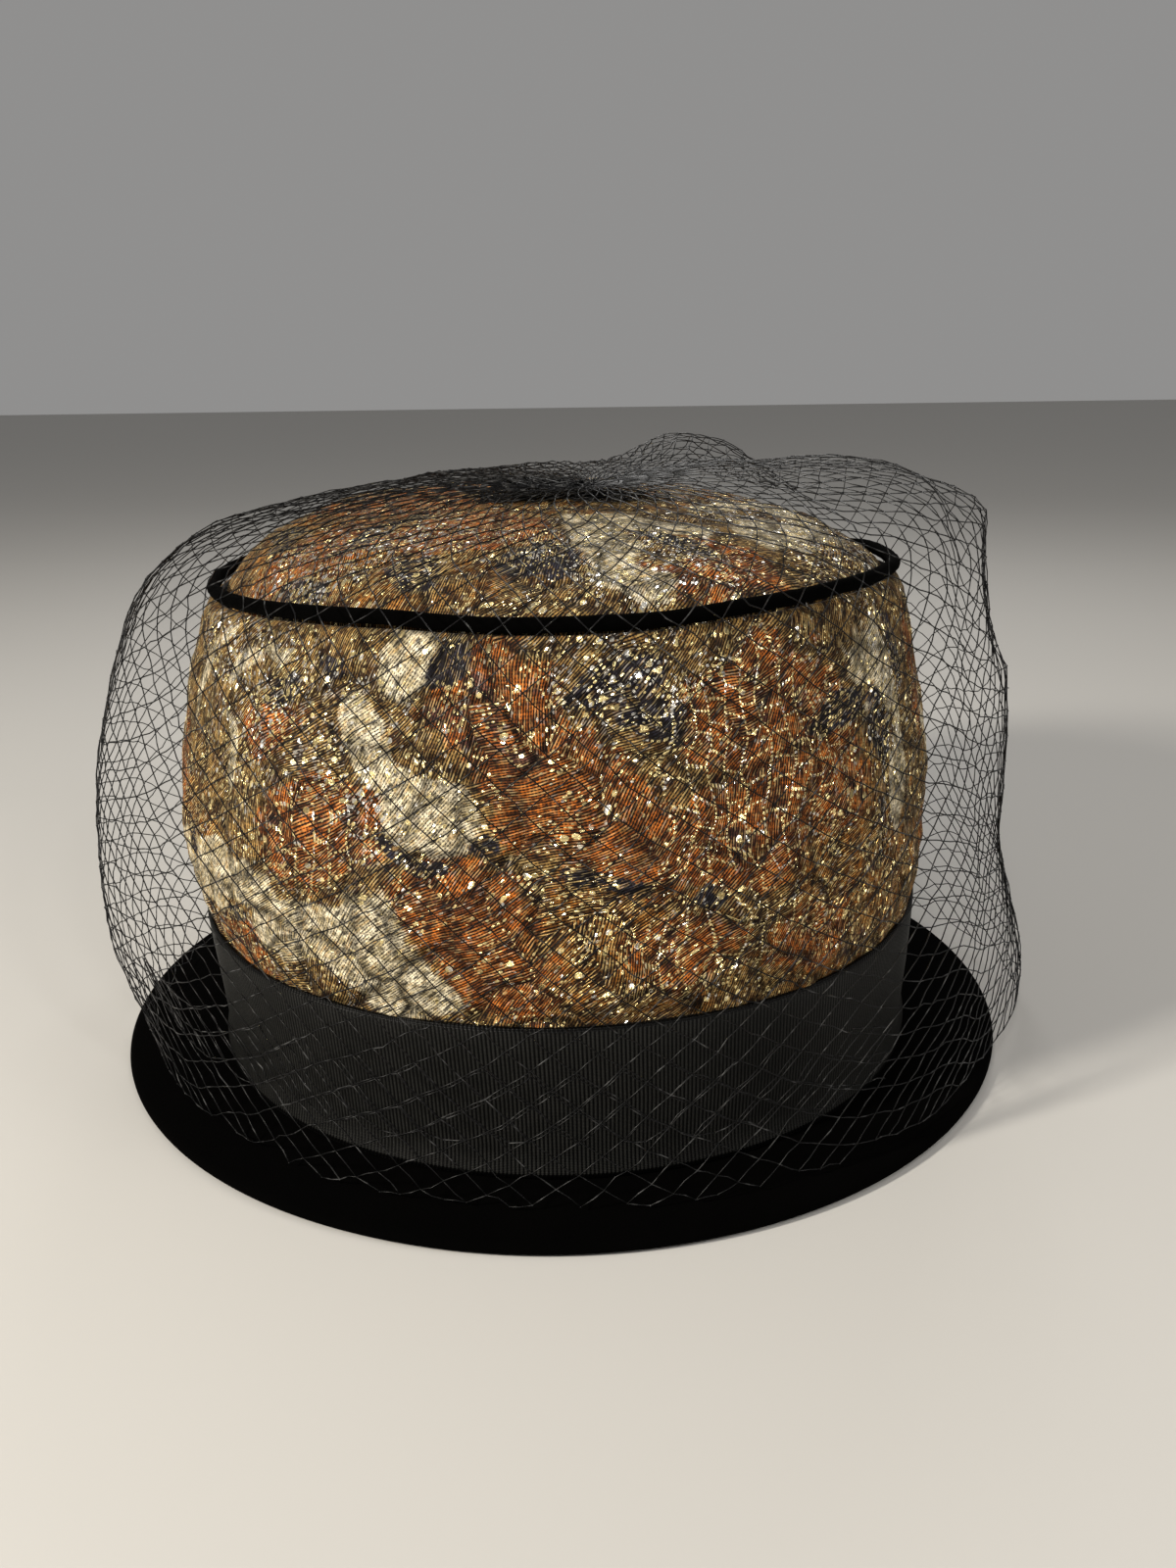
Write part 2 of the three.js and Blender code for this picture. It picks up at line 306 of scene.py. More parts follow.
def mixColour(tree, factor, first, second):
    node = tree.nodes.new("ShaderNodeMix")
    node.data_type = "RGBA"
    plug(tree, node.inputs[0], factor)
    plug(tree, node.inputs[6], first)
    plug(tree, node.inputs[7], second)
    return node.outputs[2]


def stepBetween(tree, value, low, high, toLow=0.0, toHigh=1.0):
    node = tree.nodes.new("ShaderNodeMapRange")
    node.interpolation_type = "SMOOTHSTEP"
    plug(tree, node.inputs[0], value)
    for socket, number in zip(node.inputs[1:5], (low, high, toLow, toHigh)):
        plug(tree, socket, number)
    return node.outputs[0]


def noiseAt(tree, vector, scale, detail=2.0, rough=0.5):
    node = tree.nodes.new("ShaderNodeTexNoise")
    plug(tree, node.inputs["Vector"], vector)
    node.inputs["Scale"].default_value = scale
    node.inputs["Detail"].default_value = detail
    node.inputs["Roughness"].default_value = rough
    return node.outputs["Fac"], node.outputs["Color"]


def cellsAt(tree, vector, scale, feature="F1", randomness=1.0):
    node = tree.nodes.new("ShaderNodeTexVoronoi")
    node.feature = feature
    node.voronoi_dimensions = "2D"
    plug(tree, node.inputs["Vector"], vector)
    node.inputs["Scale"].default_value = scale
    node.inputs["Randomness"].default_value = randomness
    return node


def split(tree, vector):
    node = tree.nodes.new("ShaderNodeSeparateXYZ")
    plug(tree, node.inputs[0], vector)
    return node.outputs


def join(tree, x, y, z=0.0):
    node = tree.nodes.new("ShaderNodeCombineXYZ")
    for socket, value in zip(node.inputs, (x, y, z)):
        plug(tree, socket, value)
    return node.outputs[0]


def bumped(tree, height, distance, strength=1.0, normal=None):
    node = tree.nodes.new("ShaderNodeBump")
    node.inputs["Strength"].default_value = strength
    node.inputs["Distance"].default_value = distance
    plug(tree, node.inputs["Height"], height)
    if normal:
        plug(tree, node.inputs["Normal"], normal)
    return node.outputs[0]


# the brocade: patches of colour, slanting threads, a net of dotted scales, and metal glints
brocade = {
    # a near-black: painted shade in the grooves between threads and in the creases, and the colour of
    # dark specks of grit
    "grooveShadeAndSpeck": (0.006, 0.004, 0.003, 1),
    "olive": (0.36, 0.215, 0.065, 1),
    "bronze": (0.46, 0.175, 0.026, 1),
    "umber": (0.075, 0.030, 0.008, 1),
    "rust": (0.60, 0.165, 0.022, 1),
    "rustDeep": (0.16, 0.042, 0.008, 1),
    "cream": (0.84, 0.745, 0.54, 1),
    "creamDeep": (0.36, 0.30, 0.18, 1),
    "charcoal": (0.034, 0.032, 0.05, 1),
    "charcoalDeep": (0.007, 0.007, 0.012, 1),
    "gold": (1.0, 0.64, 0.22, 1),
    "glint": (1.0, 0.80, 0.38, 1),
    "fleck": (0.50, 0.29, 0.09, 1),
    "copper": (0.95, 0.42, 0.12, 1),
    "silver": (0.98, 0.95, 0.88, 1),
    "specular": 0.12,
    "metallic": 0.9,
    "clothRoughness": 0.75,
    "metalRoughness": 0.22,
    "threadPitch": 0.55 * mm,
    "weftShare": 1.3,
    "dashLength": 3.0 * mm,
    "pucker": 13 * mm,
    "puckerTurn": 1.3,
    "puckerStart": -1.35,
    "bendScale": 60.0,
    "threadBend": 4.5 * mm,
    "puckerBend": 16 * mm,
    "scaleBend": 14 * mm,
    "frayScale": 170.0,
    "fray": 1.5,
    "mottleScale": 250.0,
    "gritScale": 950.0,
    "patchyScale": 110.0,
    "crowdScale": 95.0,
    "crowd": 0.62,
    "puffScale": 200.0,
    "fineDot": (0.75 * mm, 1.4 * mm),
    "largeDot": (2.1 * mm, 2.6 * mm),
    "scaleWide": 4.4 * mm,
    "scaleTall": 5.4 * mm,
    "scaleDot": 0.95 * mm,
    "puffDepth": 1.6 * mm,
    "threadDepth": 0.3 * mm,
    "facetTilt": 1.2,
}

# the fields that are painted on the cloth's points, three to an attribute
patchKinds = {
    "patches": ["rust", "cream", "dark"],
    "threads": ["gold", "silver", "scales"],
}


def stripes(tree, place, pitch):
    wave = doMath(tree, "SINE", times(tree, place, 2 * math.pi / pitch))
    return timesPlus(tree, wave, 0.5, 0.5)


# dotted lines at each side of a cell, where the place counts cells
def dottedLine(tree, place, dotAlong, dotPitch):
    apart = doMath(tree, "ABSOLUTE", minus(tree, doMath(tree, "FRACT", place), 0.5))
    dots = stepBetween(tree, stripes(tree, dotAlong, dotPitch), 0.3, 0.6)
    return times(tree, stepBetween(tree, apart, 0.435, 0.465), dots)


# the cloth is puckered, so its threads bend and turn from one pucker to the next
def layOfThreads(tree, flat):
    b = brocade
    bend = doVector(tree, "SUBTRACT", noiseAt(tree, flat, b["bendScale"], 1.0)[1], (0.5, 0.5, 0.5))
    curved = doVector(tree, "ADD", flat, scaled(tree, bend, b["threadBend"]))
    puckerPlace = doVector(tree, "ADD", flat, scaled(tree, bend, b["puckerBend"]))
    pucker = cellsAt(tree, puckerPlace, 1 / b["pucker"])
    border = cellsAt(tree, puckerPlace, 1 / b["pucker"], "DISTANCE_TO_EDGE")
    turn = split(tree, pucker.outputs["Color"])[0]
    angle = timesPlus(tree, turn, b["puckerTurn"], b["puckerStart"])
    x, y = split(tree, curved)[:2]
    cosine = doMath(tree, "COSINE", angle)
    sine = doMath(tree, "SINE", angle)
    across = plus(tree, times(tree, x, cosine), times(tree, y, sine))
    along = minus(tree, times(tree, y, cosine), times(tree, x, sine))
    return {
        "bend": bend,
        "across": across,
        "along": along,
        "thread": stripes(tree, across, b["threadPitch"]),
        "weft": stripes(tree, along, b["threadPitch"] * b["weftShare"]),
        # one near a pucker's edge: it dips the relief there and carries the painted shade in the creases
        "creaseDipAndShade": stepBetween(tree, border.outputs["Distance"], 0.0, 0.16, 1.0, 0.0),
    }


# each zone is nought outside its patches and one inside, with a frayed edge
def colourZones(tree, flat, lay):
    b = brocade
    depth = {}
    for attribute, kinds in patchKinds.items():
        node = tree.nodes.new("ShaderNodeAttribute")
        node.attribute_name = attribute
        depth.update(zip(kinds, split(tree, node.outputs["Vector"])))
    sway = times(tree, minus(tree, noiseAt(tree, flat, b["frayScale"], 4.0, 0.72)[0], 0.5), b["fray"])
    edge = timesPlus(tree, lay["thread"], 0.14, sway)

    def within(kind, edgeShare):
        return stepBetween(tree, timesPlus(tree, edge, edgeShare, depth[kind]), 0.0, 0.12)

    def about(kind, low, high, least=0.0):
        return stepBetween(tree, plus(tree, depth[kind], sway), low, high, least)

    return {
        "rust": within("rust", 1.0),
        "cream": within("cream", 0.6),
        "dark": within("dark", 0.8),
        "scales": about("scales", 0.0, 0.2),
        "silver": about("silver", -0.2, 0.4),
        "gold": about("gold", -0.2, 0.3, 0.3),
        "goldDepth": depth["gold"],
    }


# the dyed cloth, in which every dash of thread has a tone of its own, with painted shade in the grooves
# between the threads and in the creases between puckers
def dyedCloth(tree, flat, lay, zones):
    b = brocade
    dashes = join(
        tree,
        times(tree, lay["across"], 1 / b["threadPitch"]),
        times(tree, lay["along"], 1 / b["dashLength"]),
    )
    dash, dashTones = noiseAt(tree, dashes, 1.0, 1.0, 0.6)
    fleck = split(tree, dashTones)[1]
    mottle = stepBetween(tree, noiseAt(tree, flat, b["mottleScale"], 4.0, 0.7)[0], 0.4, 0.62)
    grit = stepBetween(tree, noiseAt(tree, flat, b["gritScale"], 2.0, 0.6)[0], 0.42, 0.56, 0.55, 0.0)
    patchy, patchyTones = noiseAt(tree, flat, b["patchyScale"], 2.0, 0.6)
    streaks = stepBetween(tree, split(tree, patchyTones)[1], 0.61, 0.69, 0.0, 0.75)

    def dyed(name):
        return mixColour(tree, mottle, b[name + "Deep"], b[name])

    bronzeShare = plus(tree, patchy, times(tree, zones["goldDepth"], 0.25))
    ground = mixColour(tree, stepBetween(tree, bronzeShare, 0.36, 0.56), b["olive"], b["bronze"])
    colour = mixColour(tree, mottle, b["umber"], ground)
    colour = mixColour(tree, zones["rust"], colour, dyed("rust"))
    colour = mixColour(tree, streaks, colour, dyed("charcoal"))
    colour = mixColour(tree, zones["cream"], colour, dyed("cream"))
    colour = mixColour(tree, zones["dark"], colour, dyed("charcoal"))
    colour = mixColour(tree, stepBetween(tree, fleck, 0.56, 0.7, 0.0, 0.6), colour, b["fleck"])
    colour = mixColour(tree, stepBetween(tree, fleck, 0.44, 0.35, 0.0, 0.85), colour, b["grooveShadeAndSpeck"])
    colour = mixColour(tree, grit, colour, b["grooveShadeAndSpeck"])
    # painted shade: the colour goes darker towards the edge of every pucker, in the creases between
    # puckers
    colour = mixColour(tree, times(tree, lay["creaseDipAndShade"], 0.6), colour, b["grooveShadeAndSpeck"])
    lift = timesPlus(tree, dash, 1.2, times(tree, lay["thread"], 0.9))
    lift = timesPlus(tree, lay["weft"], 0.3, lift)
    lift = timesPlus(tree, zones["cream"], 0.25, lift)
    ridge = stepBetween(tree, lift, 0.83, 1.32)
    # where the ridge is low the colour goes near-black: partly painted shade in the grooves between
    # threads, partly darker dashes of thread
    return mixColour(tree, ridge, b["grooveShadeAndSpeck"], colour), dash, ridge


# dots of metal that stand along the threads, each with its chance, tone and tilt
def dotsAt(tree, lay, pitch, smallest, growth):
    place = join(tree, times(tree, lay["across"], 1 / pitch[0]), times(tree, lay["along"], 1 / pitch[1]))
    cells = cellsAt(tree, place, 1.0, "F1", 0.85)
    chance, tone, size = split(tree, cells.outputs["Color"])[:3]
    away = timesPlus(tree, size, -growth, cells.outputs["Distance"])
    dot = stepBetween(tree, away, smallest, smallest + 0.07, 1.0, 0.0)
    return {"dot": dot, "chance": chance, "tone": tone, "tilt": cells.outputs["Color"]}


# strings of small dots that draw scales
def dottedScales(tree, flat, lay, zones):
    b = brocade
    x, y = split(tree, doVector(tree, "ADD", flat, scaled(tree, lay["bend"], b["scaleBend"])))[:2]
    column = times(tree, x, 1 / b["scaleWide"])
    stagger = times(tree, doMath(tree, "FLOOR", column), 0.5)
    row = timesPlus(tree, y, 1 / b["scaleTall"], stagger)
    uprights = dottedLine(tree, column, y, b["scaleDot"])
    crossings = dottedLine(tree, row, x, b["scaleDot"])
    return times(tree, doMath(tree, "MAXIMUM", uprights, crossings), zones["scales"])


# loose glints crowd together in some places and are rare in others
def crowding(tree, flat, zones):
    clumps = stepBetween(tree, noiseAt(tree, flat, brocade["crowdScale"], 3.0, 0.6)[0], 0.36, 0.64)
    crowd = times(tree, clumps, brocade["crowd"])
    crowd = timesPlus(tree, zones["silver"], 0.42, crowd)
    crowd = timesPlus(tree, stepBetween(tree, zones["goldDepth"], 0.0, 0.4), 0.15, crowd)
    crowd = timesPlus(tree, zones["scales"], -0.2, crowd)
    return timesPlus(tree, zones["cream"], -0.2, crowd)


def litDots(tree, dots, crowd, share):
    allowed = minus(tree, times(tree, crowd, share), dots["chance"])
    return times(tree, dots["dot"], stepBetween(tree, allowed, -0.02, 0.02))


def brocadeMaterial():
    b = brocade
    material, tree, shader = newMaterial("puckered brocade")
    weave = tree.nodes.new("ShaderNodeUVMap")
    weave.uv_map = "weave"
    flat = weave.outputs[0]
    lay = layOfThreads(tree, flat)
    zones = colourZones(tree, flat, lay)
    colour, dash, ridge = dyedCloth(tree, flat, lay, zones)

    crowd = crowding(tree, flat, zones)
    fine = dotsAt(tree, lay, b["fineDot"], 0.11, 0.2)
    large = dotsAt(tree, lay, b["largeDot"], 0.1, 0.17)
    largeGlint = litDots(tree, large, crowd, timesPlus(tree, zones["silver"], 0.35, 0.5))
    loose = doMath(tree, "MAXIMUM", litDots(tree, fine, crowd, 0.9), largeGlint)
    glint = doMath(tree, "MAXIMUM", loose, dottedScales(tree, flat, lay, zones))

    # in the gold zones whole dashes of metal thread lie on top
    lame = times(tree, stepBetween(tree, dash, 0.52, 0.62), stepBetween(tree, lay["thread"], 0.45, 0.8))
    lame = times(tree, lame, zones["gold"])
    metal = doMath(tree, "MAXIMUM", glint, lame)
    silverShare = stepBetween(tree, timesPlus(tree, zones["silver"], 0.3, fine["tone"]), 0.72, 0.98)
    metalColour = mixColour(tree, silverShare, b["glint"], b["silver"])
    warmShare = times(tree, lame, minus(tree, 1.0, glint))
    warm = mixColour(tree, zones["rust"], b["gold"], b["copper"])
    metalColour = mixColour(tree, warmShare, metalColour, warm)
    shader.inputs["Specular IOR Level"].default_value = b["specular"]
    plug(tree, shader.inputs["Base Color"], mixColour(tree, metal, colour, metalColour))
    plug(tree, shader.inputs["Metallic"], times(tree, metal, b["metallic"]))
    roughness = stepBetween(tree, metal, 0.0, 1.0, b["clothRoughness"], b["metalRoughness"])
    plug(tree, shader.inputs["Roughness"], roughness)

    # relief of the puckers and the threads, and a facet of its own for every dot
    puff = timesPlus(tree, lay["creaseDipAndShade"], -0.8, noiseAt(tree, flat, b["puffScale"], 2.0)[0])
    puffed = bumped(tree, puff, b["puffDepth"])
    normal = bumped(tree, timesPlus(tree, ridge, 0.5, metal), b["threadDepth"], 0.8, puffed)
    tilt = mixColour(tree, largeGlint, fine["tilt"], large["tilt"])
    tilt = doVector(tree, "SUBTRACT", tilt, (0.5, 0.5, 0.5))
    tilted = doVector(tree, "ADD", normal, scaled(tree, tilt, times(tree, loose, b["facetTilt"])))
    plug(tree, shader.inputs["Normal"], doVector(tree, "NORMALIZE", tilted))
    return material


# the plainer cloths: a dark and a pale tone, and the values that stay the same all over
plainSockets = {
    "roughness": "Roughness",
    "specular": "Specular IOR Level",
    "sheen": "Sheen Weight",
    "sheenRoughness": "Sheen Roughness",
    "sheenTint": "Sheen Tint",
}


def plainCloth(name, look):
    material, tree, shader = newMaterial(name)
    for key, socket in plainSockets.items():
        if key in look:
            shader.inputs[socket].default_value = look[key]
    return material, tree, shader, tree.nodes.new("ShaderNodeTexCoord").outputs["Object"]


def toned(tree, shader, tone, look):
    plug(tree, shader.inputs["Base Color"], mixColour(tree, tone, look["dark"], look["pale"]))


foundationCloth = {
    "dark": (0.012, 0.012, 0.013, 1),
    "pale": (0.03, 0.029, 0.028, 1),
    "roughness": 0.9,
    "warpPitch": 0.9 * mm,
    "depth": 0.15 * mm,
}


def foundationMaterial():
    cloth = foundationCloth
    material, tree, shader, place = plainCloth("dark foundation cloth", cloth)
    warp = doMath(tree, "SINE", times(tree, split(tree, place)[2], 2 * math.pi / cloth["warpPitch"]))
    tone = noiseAt(tree, place, 900.0, 2.0)[0]
    toned(tree, shader, tone, cloth)
    plug(tree, shader.inputs["Normal"], bumped(tree, plus(tree, warp, tone), cloth["depth"], 0.5))
    return material


velvetCloth = {
    "dark": (0.0001, 0.0001, 0.0001, 1),
    "pale": (0.0012, 0.0011, 0.0010, 1),
    "roughness": 0.95,
    "specular": 0.01,
    "sheen": 0.003,
    "sheenRoughness": 0.4,
    "sheenTint": (0.55, 0.52, 0.5, 1),
    "depth": 0.5 * mm,
}


def velvetMaterial():
    cloth = velvetCloth
    material, tree, shader, place = plainCloth("black velvet", cloth)
    pile = noiseAt(tree, place, 2600.0, 2.0, 0.7)[0]
    nap = noiseAt(tree, place, 60.0, 3.0, 0.6)[0]
    tone = timesPlus(tree, pile, 0.6, times(tree, nap, 0.4))
    toned(tree, shader, tone, cloth)
    plug(tree, shader.inputs["Normal"], bumped(tree, tone, cloth["depth"], 0.7))
    return material


grosgrainCloth = {
    "dark": (0.0002, 0.0002, 0.0002, 1),
    # the pale tone is the painted highlight on the rib tops
    "pale": (0.0145, 0.0145, 0.0132, 1),
    "roughness": 0.4,
    "specular": 0.09,
    "sheen": 0.003,
    "sheenRoughness": 0.4,
    "pickPitch": 0.34 * mm,
    "depth": 0.08 * mm,
}


def grosgrainMaterial():
    cloth = grosgrainCloth
    material, tree, shader, place = plainCloth("black grosgrain", cloth)
    picks = doMath(tree, "SINE", times(tree, split(tree, place)[2], 2 * math.pi / cloth["pickPitch"]))
    tone = noiseAt(tree, place, 1500.0, 2.0, 0.6)[0]
    slowTone = noiseAt(tree, place, 35.0, 2.0)[0]
    ribs = tree.nodes.new("ShaderNodeAttribute")
    ribs.attribute_name = "ribs"
    # painted highlight and painted shade: the base colour goes from the dark tone between the ribs to
    # the pale tone on their tops, and a broad noise changes how bright the tops are
    ridge = stepBetween(tree, ribs.outputs["Fac"], 0.45, 1.0)
    shade = times(tree, ridge, timesPlus(tree, tone, 0.8, slowTone))
    toned(tree, shader, shade, cloth)
    relief = timesPlus(tree, picks, 0.4, tone)
    plug(tree, shader.inputs["Normal"], bumped(tree, relief, cloth["depth"], 0.6))
    return material


netThreads = {
    "dark": (0.001, 0.001, 0.0012, 1),
    # the pale tone is painted shine
    "pale": (0.045, 0.045, 0.045, 1),
    "roughness": 0.4,
    "specular": 0.2,
}


def netMaterial():
    material, tree, shader, place = plainCloth("black net thread", netThreads)
    # painted highlight: short stretches of thread are painted paler, as if they caught the light
    tone = stepBetween(tree, noiseAt(tree, place, 300.0, 2.0)[0], 0.55, 0.7)
    toned(tree, shader, tone, netThreads)
    return material


brocadeCloth = brocadeMaterial()
foundation = foundationMaterial()
velvet = velvetMaterial()
grosgrain = grosgrainMaterial()
netThread = netMaterial()
print("materials ready")


# brim: a flat oval of velvet whose edge is folded round and whose hem lies on the table
brim = {
    "segments": 128,
    "insideHalfWidth": 85.2 * mm,
    "thickness": 3.0 * mm,
    "rise": 1.0 * mm,
    "wave": 0.35 * mm,
    "waveScale": 28,
    "section": [
        dict(edge="inside", out=0, thick=0, rise=1, lift=0.1),
        dict(edge="inside", out=9, thick=0, rise=0, lift=0.2),
        dict(edge="outside", out=-10, thick=0, rise=0, lift=0),
        dict(edge="outside", out=-2.4, thick=0, rise=0, lift=0),
        dict(edge="outside", out=-0.7, thick=0, rise=0, lift=0.35),
        dict(edge="outside", out=0.1, thick=0.5, rise=0, lift=0),
        dict(edge="outside", out=-0.7, thick=1, rise=0, lift=-0.35),
        dict(edge="outside", out=-2.6, thick=1, rise=0, lift=0.05),
        dict(edge="outside", out=-12, thick=1, rise=0.3, lift=0),
        dict(edge="inside", out=5, thick=1, rise=0.85, lift=0),
        dict(edge="inside", out=0, thick=1, rise=1, lift=-0.1),
    ],
}


# rows of the section count outwards and up in millimetres, and in shares of thickness and rise
def brimRing(row):
    edge = brimHigh.x if row["edge"] == "outside" else brim["insideHalfWidth"]
    up = brim["thickness"] * row["thick"] + brim["rise"] * row["rise"] + row["lift"] * mm
    return ring(edge + row["out"] * mm, up)


def makeBrim():
    thick = brim["thickness"]
    piece = ringStack("brim velvet", brim["segments"], [brimRing(row) for row in brim["section"]])
    closeStack()
    subdivided(piece, 2)
    points = pointsOf(piece)
    upper = np.clip((points[:, 2] - thick * 0.55) / thick, 0, 1)
    waves = np.array([noise.noise(Vector(p) * brim["waveScale"]) for p in points])
    points[:, 2] += waves * brim["wave"] * upper
    putPoints(piece, points)
    smoothen(piece)
    return finished(piece, "brim_velvet", [velvet], ["brim"])


makeBrim()


# the cloth's patches: degrees round from the front, height, half width and half height in
# millimetres, and how many degrees each one leans
sidePatches = {
    "rust": [
        (-28, 78, 17, 10, 10),
        (-6, 107, 12, 11, 20),
        (0, 91, 14, 12, 0),
        (7, 80, 19, 9, -12),
        (-10, 65, 12, 11, 0),
        (-6, 52, 13, 9, -15),
        (27, 102, 18, 12, 0),
        (24, 79, 18, 13, 10),
        (14, 56, 12, 7, 0),
        (32, 52, 11, 7, 10),
        (-36, 96, 8, 5, 20),
        (-44, 45, 11, 9, 0),
        (38, 85, 9, 10, 0),
        (64, 98, 7, 16, 5),
        (-66, 80, 9, 12, -10),
        (84, 96, 14, 10, 15),
        (80, 58, 20, 11, -10),
        (-84, 104, 15, 9, 0),
        (-88, 56, 17, 12, 12),
    ],
    "cream": [
        (71, 80, 3.5, 15, 28),
        (86, 79, 13, 3.5, -18),
        (92, 70, 5, 8, 10),
        (-77, 86, 3.5, 15, -32),
        (-50, 61, 30, 5.5, 3),
        (-60, 49, 6, 8, 15),
        (-84, 70, 6, 3, 40),
        (-28, 57, 20, 7, 8),
        (-21, 54, 12, 12, 0),
        (-54, 54, 11, 4.5, 10),
        (-18, 46, 10, 8, 0),
        (-16, 114, 7, 9, -25),
        (-21, 96, 5.5, 11, 22),
        (-14, 85, 13, 6, -42),
        (-17, 80, 5, 7, 10),
        (-43, 107, 8, 2.6, 40),
        (-36, 113, 6, 2, -20),
        (47, 103, 11, 12, 15),
        (52, 82, 5, 16, -8),
        (-56, 102, 2.2, 10, -20),
        (-44, 90, 1.8, 8, 15),
        (-50, 112, 5, 2, 30),
    ],
    "dark": [
        (-34, 105, 7, 3.2, 30),
        (-27, 110, 4, 2.6, 0),
        (-45, 53, 6, 2.6, 10),
        (-57, 64, 3, 5, 0),
        (-11, 114, 3, 7, -30),
        (8, 110, 12, 5, 15),
        (13, 101, 8, 4.5, -20),
        (-7, 78, 4.5, 2.8, 0),
        (-15, 74, 9, 2, -12),
        (39, 97, 12, 3, 8),
        (46, 90, 3, 8, 10),
        (55, 108, 3, 9, 10),
        (5, 71, 9, 2.5, 10),
        (19, 66, 6, 3, -25),
        (76, 108, 8, 5, 0),
        (80, 69, 9, 3.5, 20),
        (-88, 80, 9, 5, 20),
    ],
    "gold": [
        (82, 60, 24, 18, 0),
        (5, 58, 20, 14, 10),
        (44, 56, 26, 16, 0),
        (38, 78, 9, 12, 0),
        (-62, 60, 16, 22, 0),
    ],
    "silver": [
        (-84, 84, 20, 16, 0),
        (-50, 112, 22, 12, 0),
        (-34, 100, 30, 16, 0),
        (9, 108, 18, 12, 0),
        (50, 94, 10, 26, -8),
        (-20, 84, 12, 12, 0),
    ],
    "scales": [
        (84, 92, 20, 16, 0),
        (-88, 58, 18, 14, 0),
        (25, 92, 26, 26, 0),
        (-28, 76, 15, 9, 0),
        (-44, 46, 13, 10, 0),
        (20, 56, 28, 9, 0),
    ],
}

# the same for the tip: places across and back from the axis, in millimetres
tipPatches = {
    "rust": [
        (-50, -52, 17, 13, 20),
        (-18, -56, 16, 13, 25),
        (-34, -24, 20, 10, -30),
        (38, -66, 11, 6, -45),
        (28, -76, 12, 6, 0),
        (-20, 10, 24, 18, 30),
        (35, 45, 22, 16, -20),
    ],
    "cream": [
        (11, -60, 7, 18, 18),
        (20, -50, 14, 6, -20),
        (16, -78, 10, 7, 0),
        (50, -44, 9, 15, -30),
        (58, -20, 8, 20, 14),
        (44, -24, 14, 5, 35),
        (-36, 50, 17, 5, 35),
        (-20, 60, 5, 10, -10),
    ],
    "dark": [
        (-1, -72, 9, 6, 20),
        (-27, -74, 8, 4, 0),
        (-38, -48, 12, 5, 50),
        (-52, -66, 10, 4, -35),
        (-62, -30, 5, 10, 10),
        (27, -62, 8, 4, -40),
        (12, 30, 14, 6, 50),
        (-44, 20, 6, 12, 20),
    ],
    "gold": [
        (-40, -44, 40, 34, 0),
        (0, 20, 50, 40, 0),
    ],
    "silver": [
        (16, -66, 22, 24, 0),
        (56, -30, 24, 34, 0),
        (-36, -58, 30, 16, -12),
    ],
}

patchDrift = {"scale": 75, "reach": 5.0}


# how deep each point lies in the patches of one kind, from below nought outside them to one
def patchField(flat, rows, around):
    depth = np.full(len(flat), -1.5)
    for at, up, wide, tall, lean in rows:
        away = flat - np.array([at, up])
        if around:
            away[:, 0] = (away[:, 0] + around / 2) % around - around / 2
        cosine, sine = math.cos(math.radians(lean)), math.sin(math.radians(lean))
        along = away[:, 0] * cosine + away[:, 1] * sine
        over = away[:, 1] * cosine - away[:, 0] * sine
        reach = np.sqrt((along / wide) ** 2 + (over / tall) ** 2)
        depth = np.maximum(depth, 1 - reach)
    return depth


def paintPatches(piece, patches, around):
    points = pointsOf(piece)
    if around:
        turn = np.arctan2(points[:, 0], -points[:, 1])
        flat = np.stack([turn * around / (2 * math.pi), points[:, 2] / mm], 1)
    else:
        flat = points[:, :2] / mm
    drift = np.array([noise.noise_vector(Vector(p) * patchDrift["scale"]) for p in points])
    flat = flat + patchDrift["reach"] * drift[:, :2]
    for attribute, kinds in patchKinds.items():
        fields = [patchField(flat, patches.get(kind, []), around) for kind in kinds]
        ownAttribute(piece, attribute, np.stack(fields + [np.ones(len(flat))], 1))


# crown side: brocade that swells between the piping and the ribbon
crownSide = {
    "segments": 88,
    "footHalfWidth": 88.0 * mm,
    "topHalfWidth": 85.7 * mm,
    "wall": 2.8 * mm,
    "bulge": 9.0 * mm,
    "levels": 3,
    "puffSize": 13 * mm,
    "puffDepth": 2.4 * mm,
    "crinkleSize": 4.5 * mm,
    "crinkleDepth": 0.9 * mm,
    "clothRadius": 98 * mm,
    "innerRows": [-1, 7, 5, 2, 0],
    "insideReach": [86.8 * mm, 90.2 * mm, 84.0 * mm],
    "topTuck": 0.4 * mm,
    "held": 5 * mm,
    "lowFade": 6 * mm,
    "highFade": 5 * mm,
    "swell": [
        {"up": 0, "left": 0, "right": 0.2},
        {"up": 0.15, "left": 0.22, "right": 0.4},
        {"up": 0.315, "left": 0.5, "right": 0.54},
        {"up": 0.345, "left": 0.78, "right": 0.78},
        {"up": 0.4, "left": 0.95, "right": 0.82},
        {"up": 0.5, "left": 1.16, "right": 0.9},
        {"up": 0.6, "left": 1.12, "right": 0.96},
        {"up": 0.72, "left": 0.95, "right": 0.78},
        {"up": 0.83, "left": 0.72, "right": 0.56},
        {"up": 0.93, "left": 0.36, "right": 0.36},
        {"up": 0.985, "left": 0.12, "right": 0.12},
        {"up": 1, "left": -0.06, "right": -0.06},
    ],
}


def sideRing(row, inwards=0.0):
    c = crownSide
    plain = c["footHalfWidth"] + (c["topHalfWidth"] - c["footHalfWidth"]) * row["up"]
    middle = (row["left"] + row["right"]) / 2 * c["bulge"]
    shift = (row["right"] - row["left"]) / 2 * c["bulge"]
    up = sideLow.z + (sideHigh.z - sideLow.z) * row["up"]
    return ring(plain + middle - inwards, up, shift)


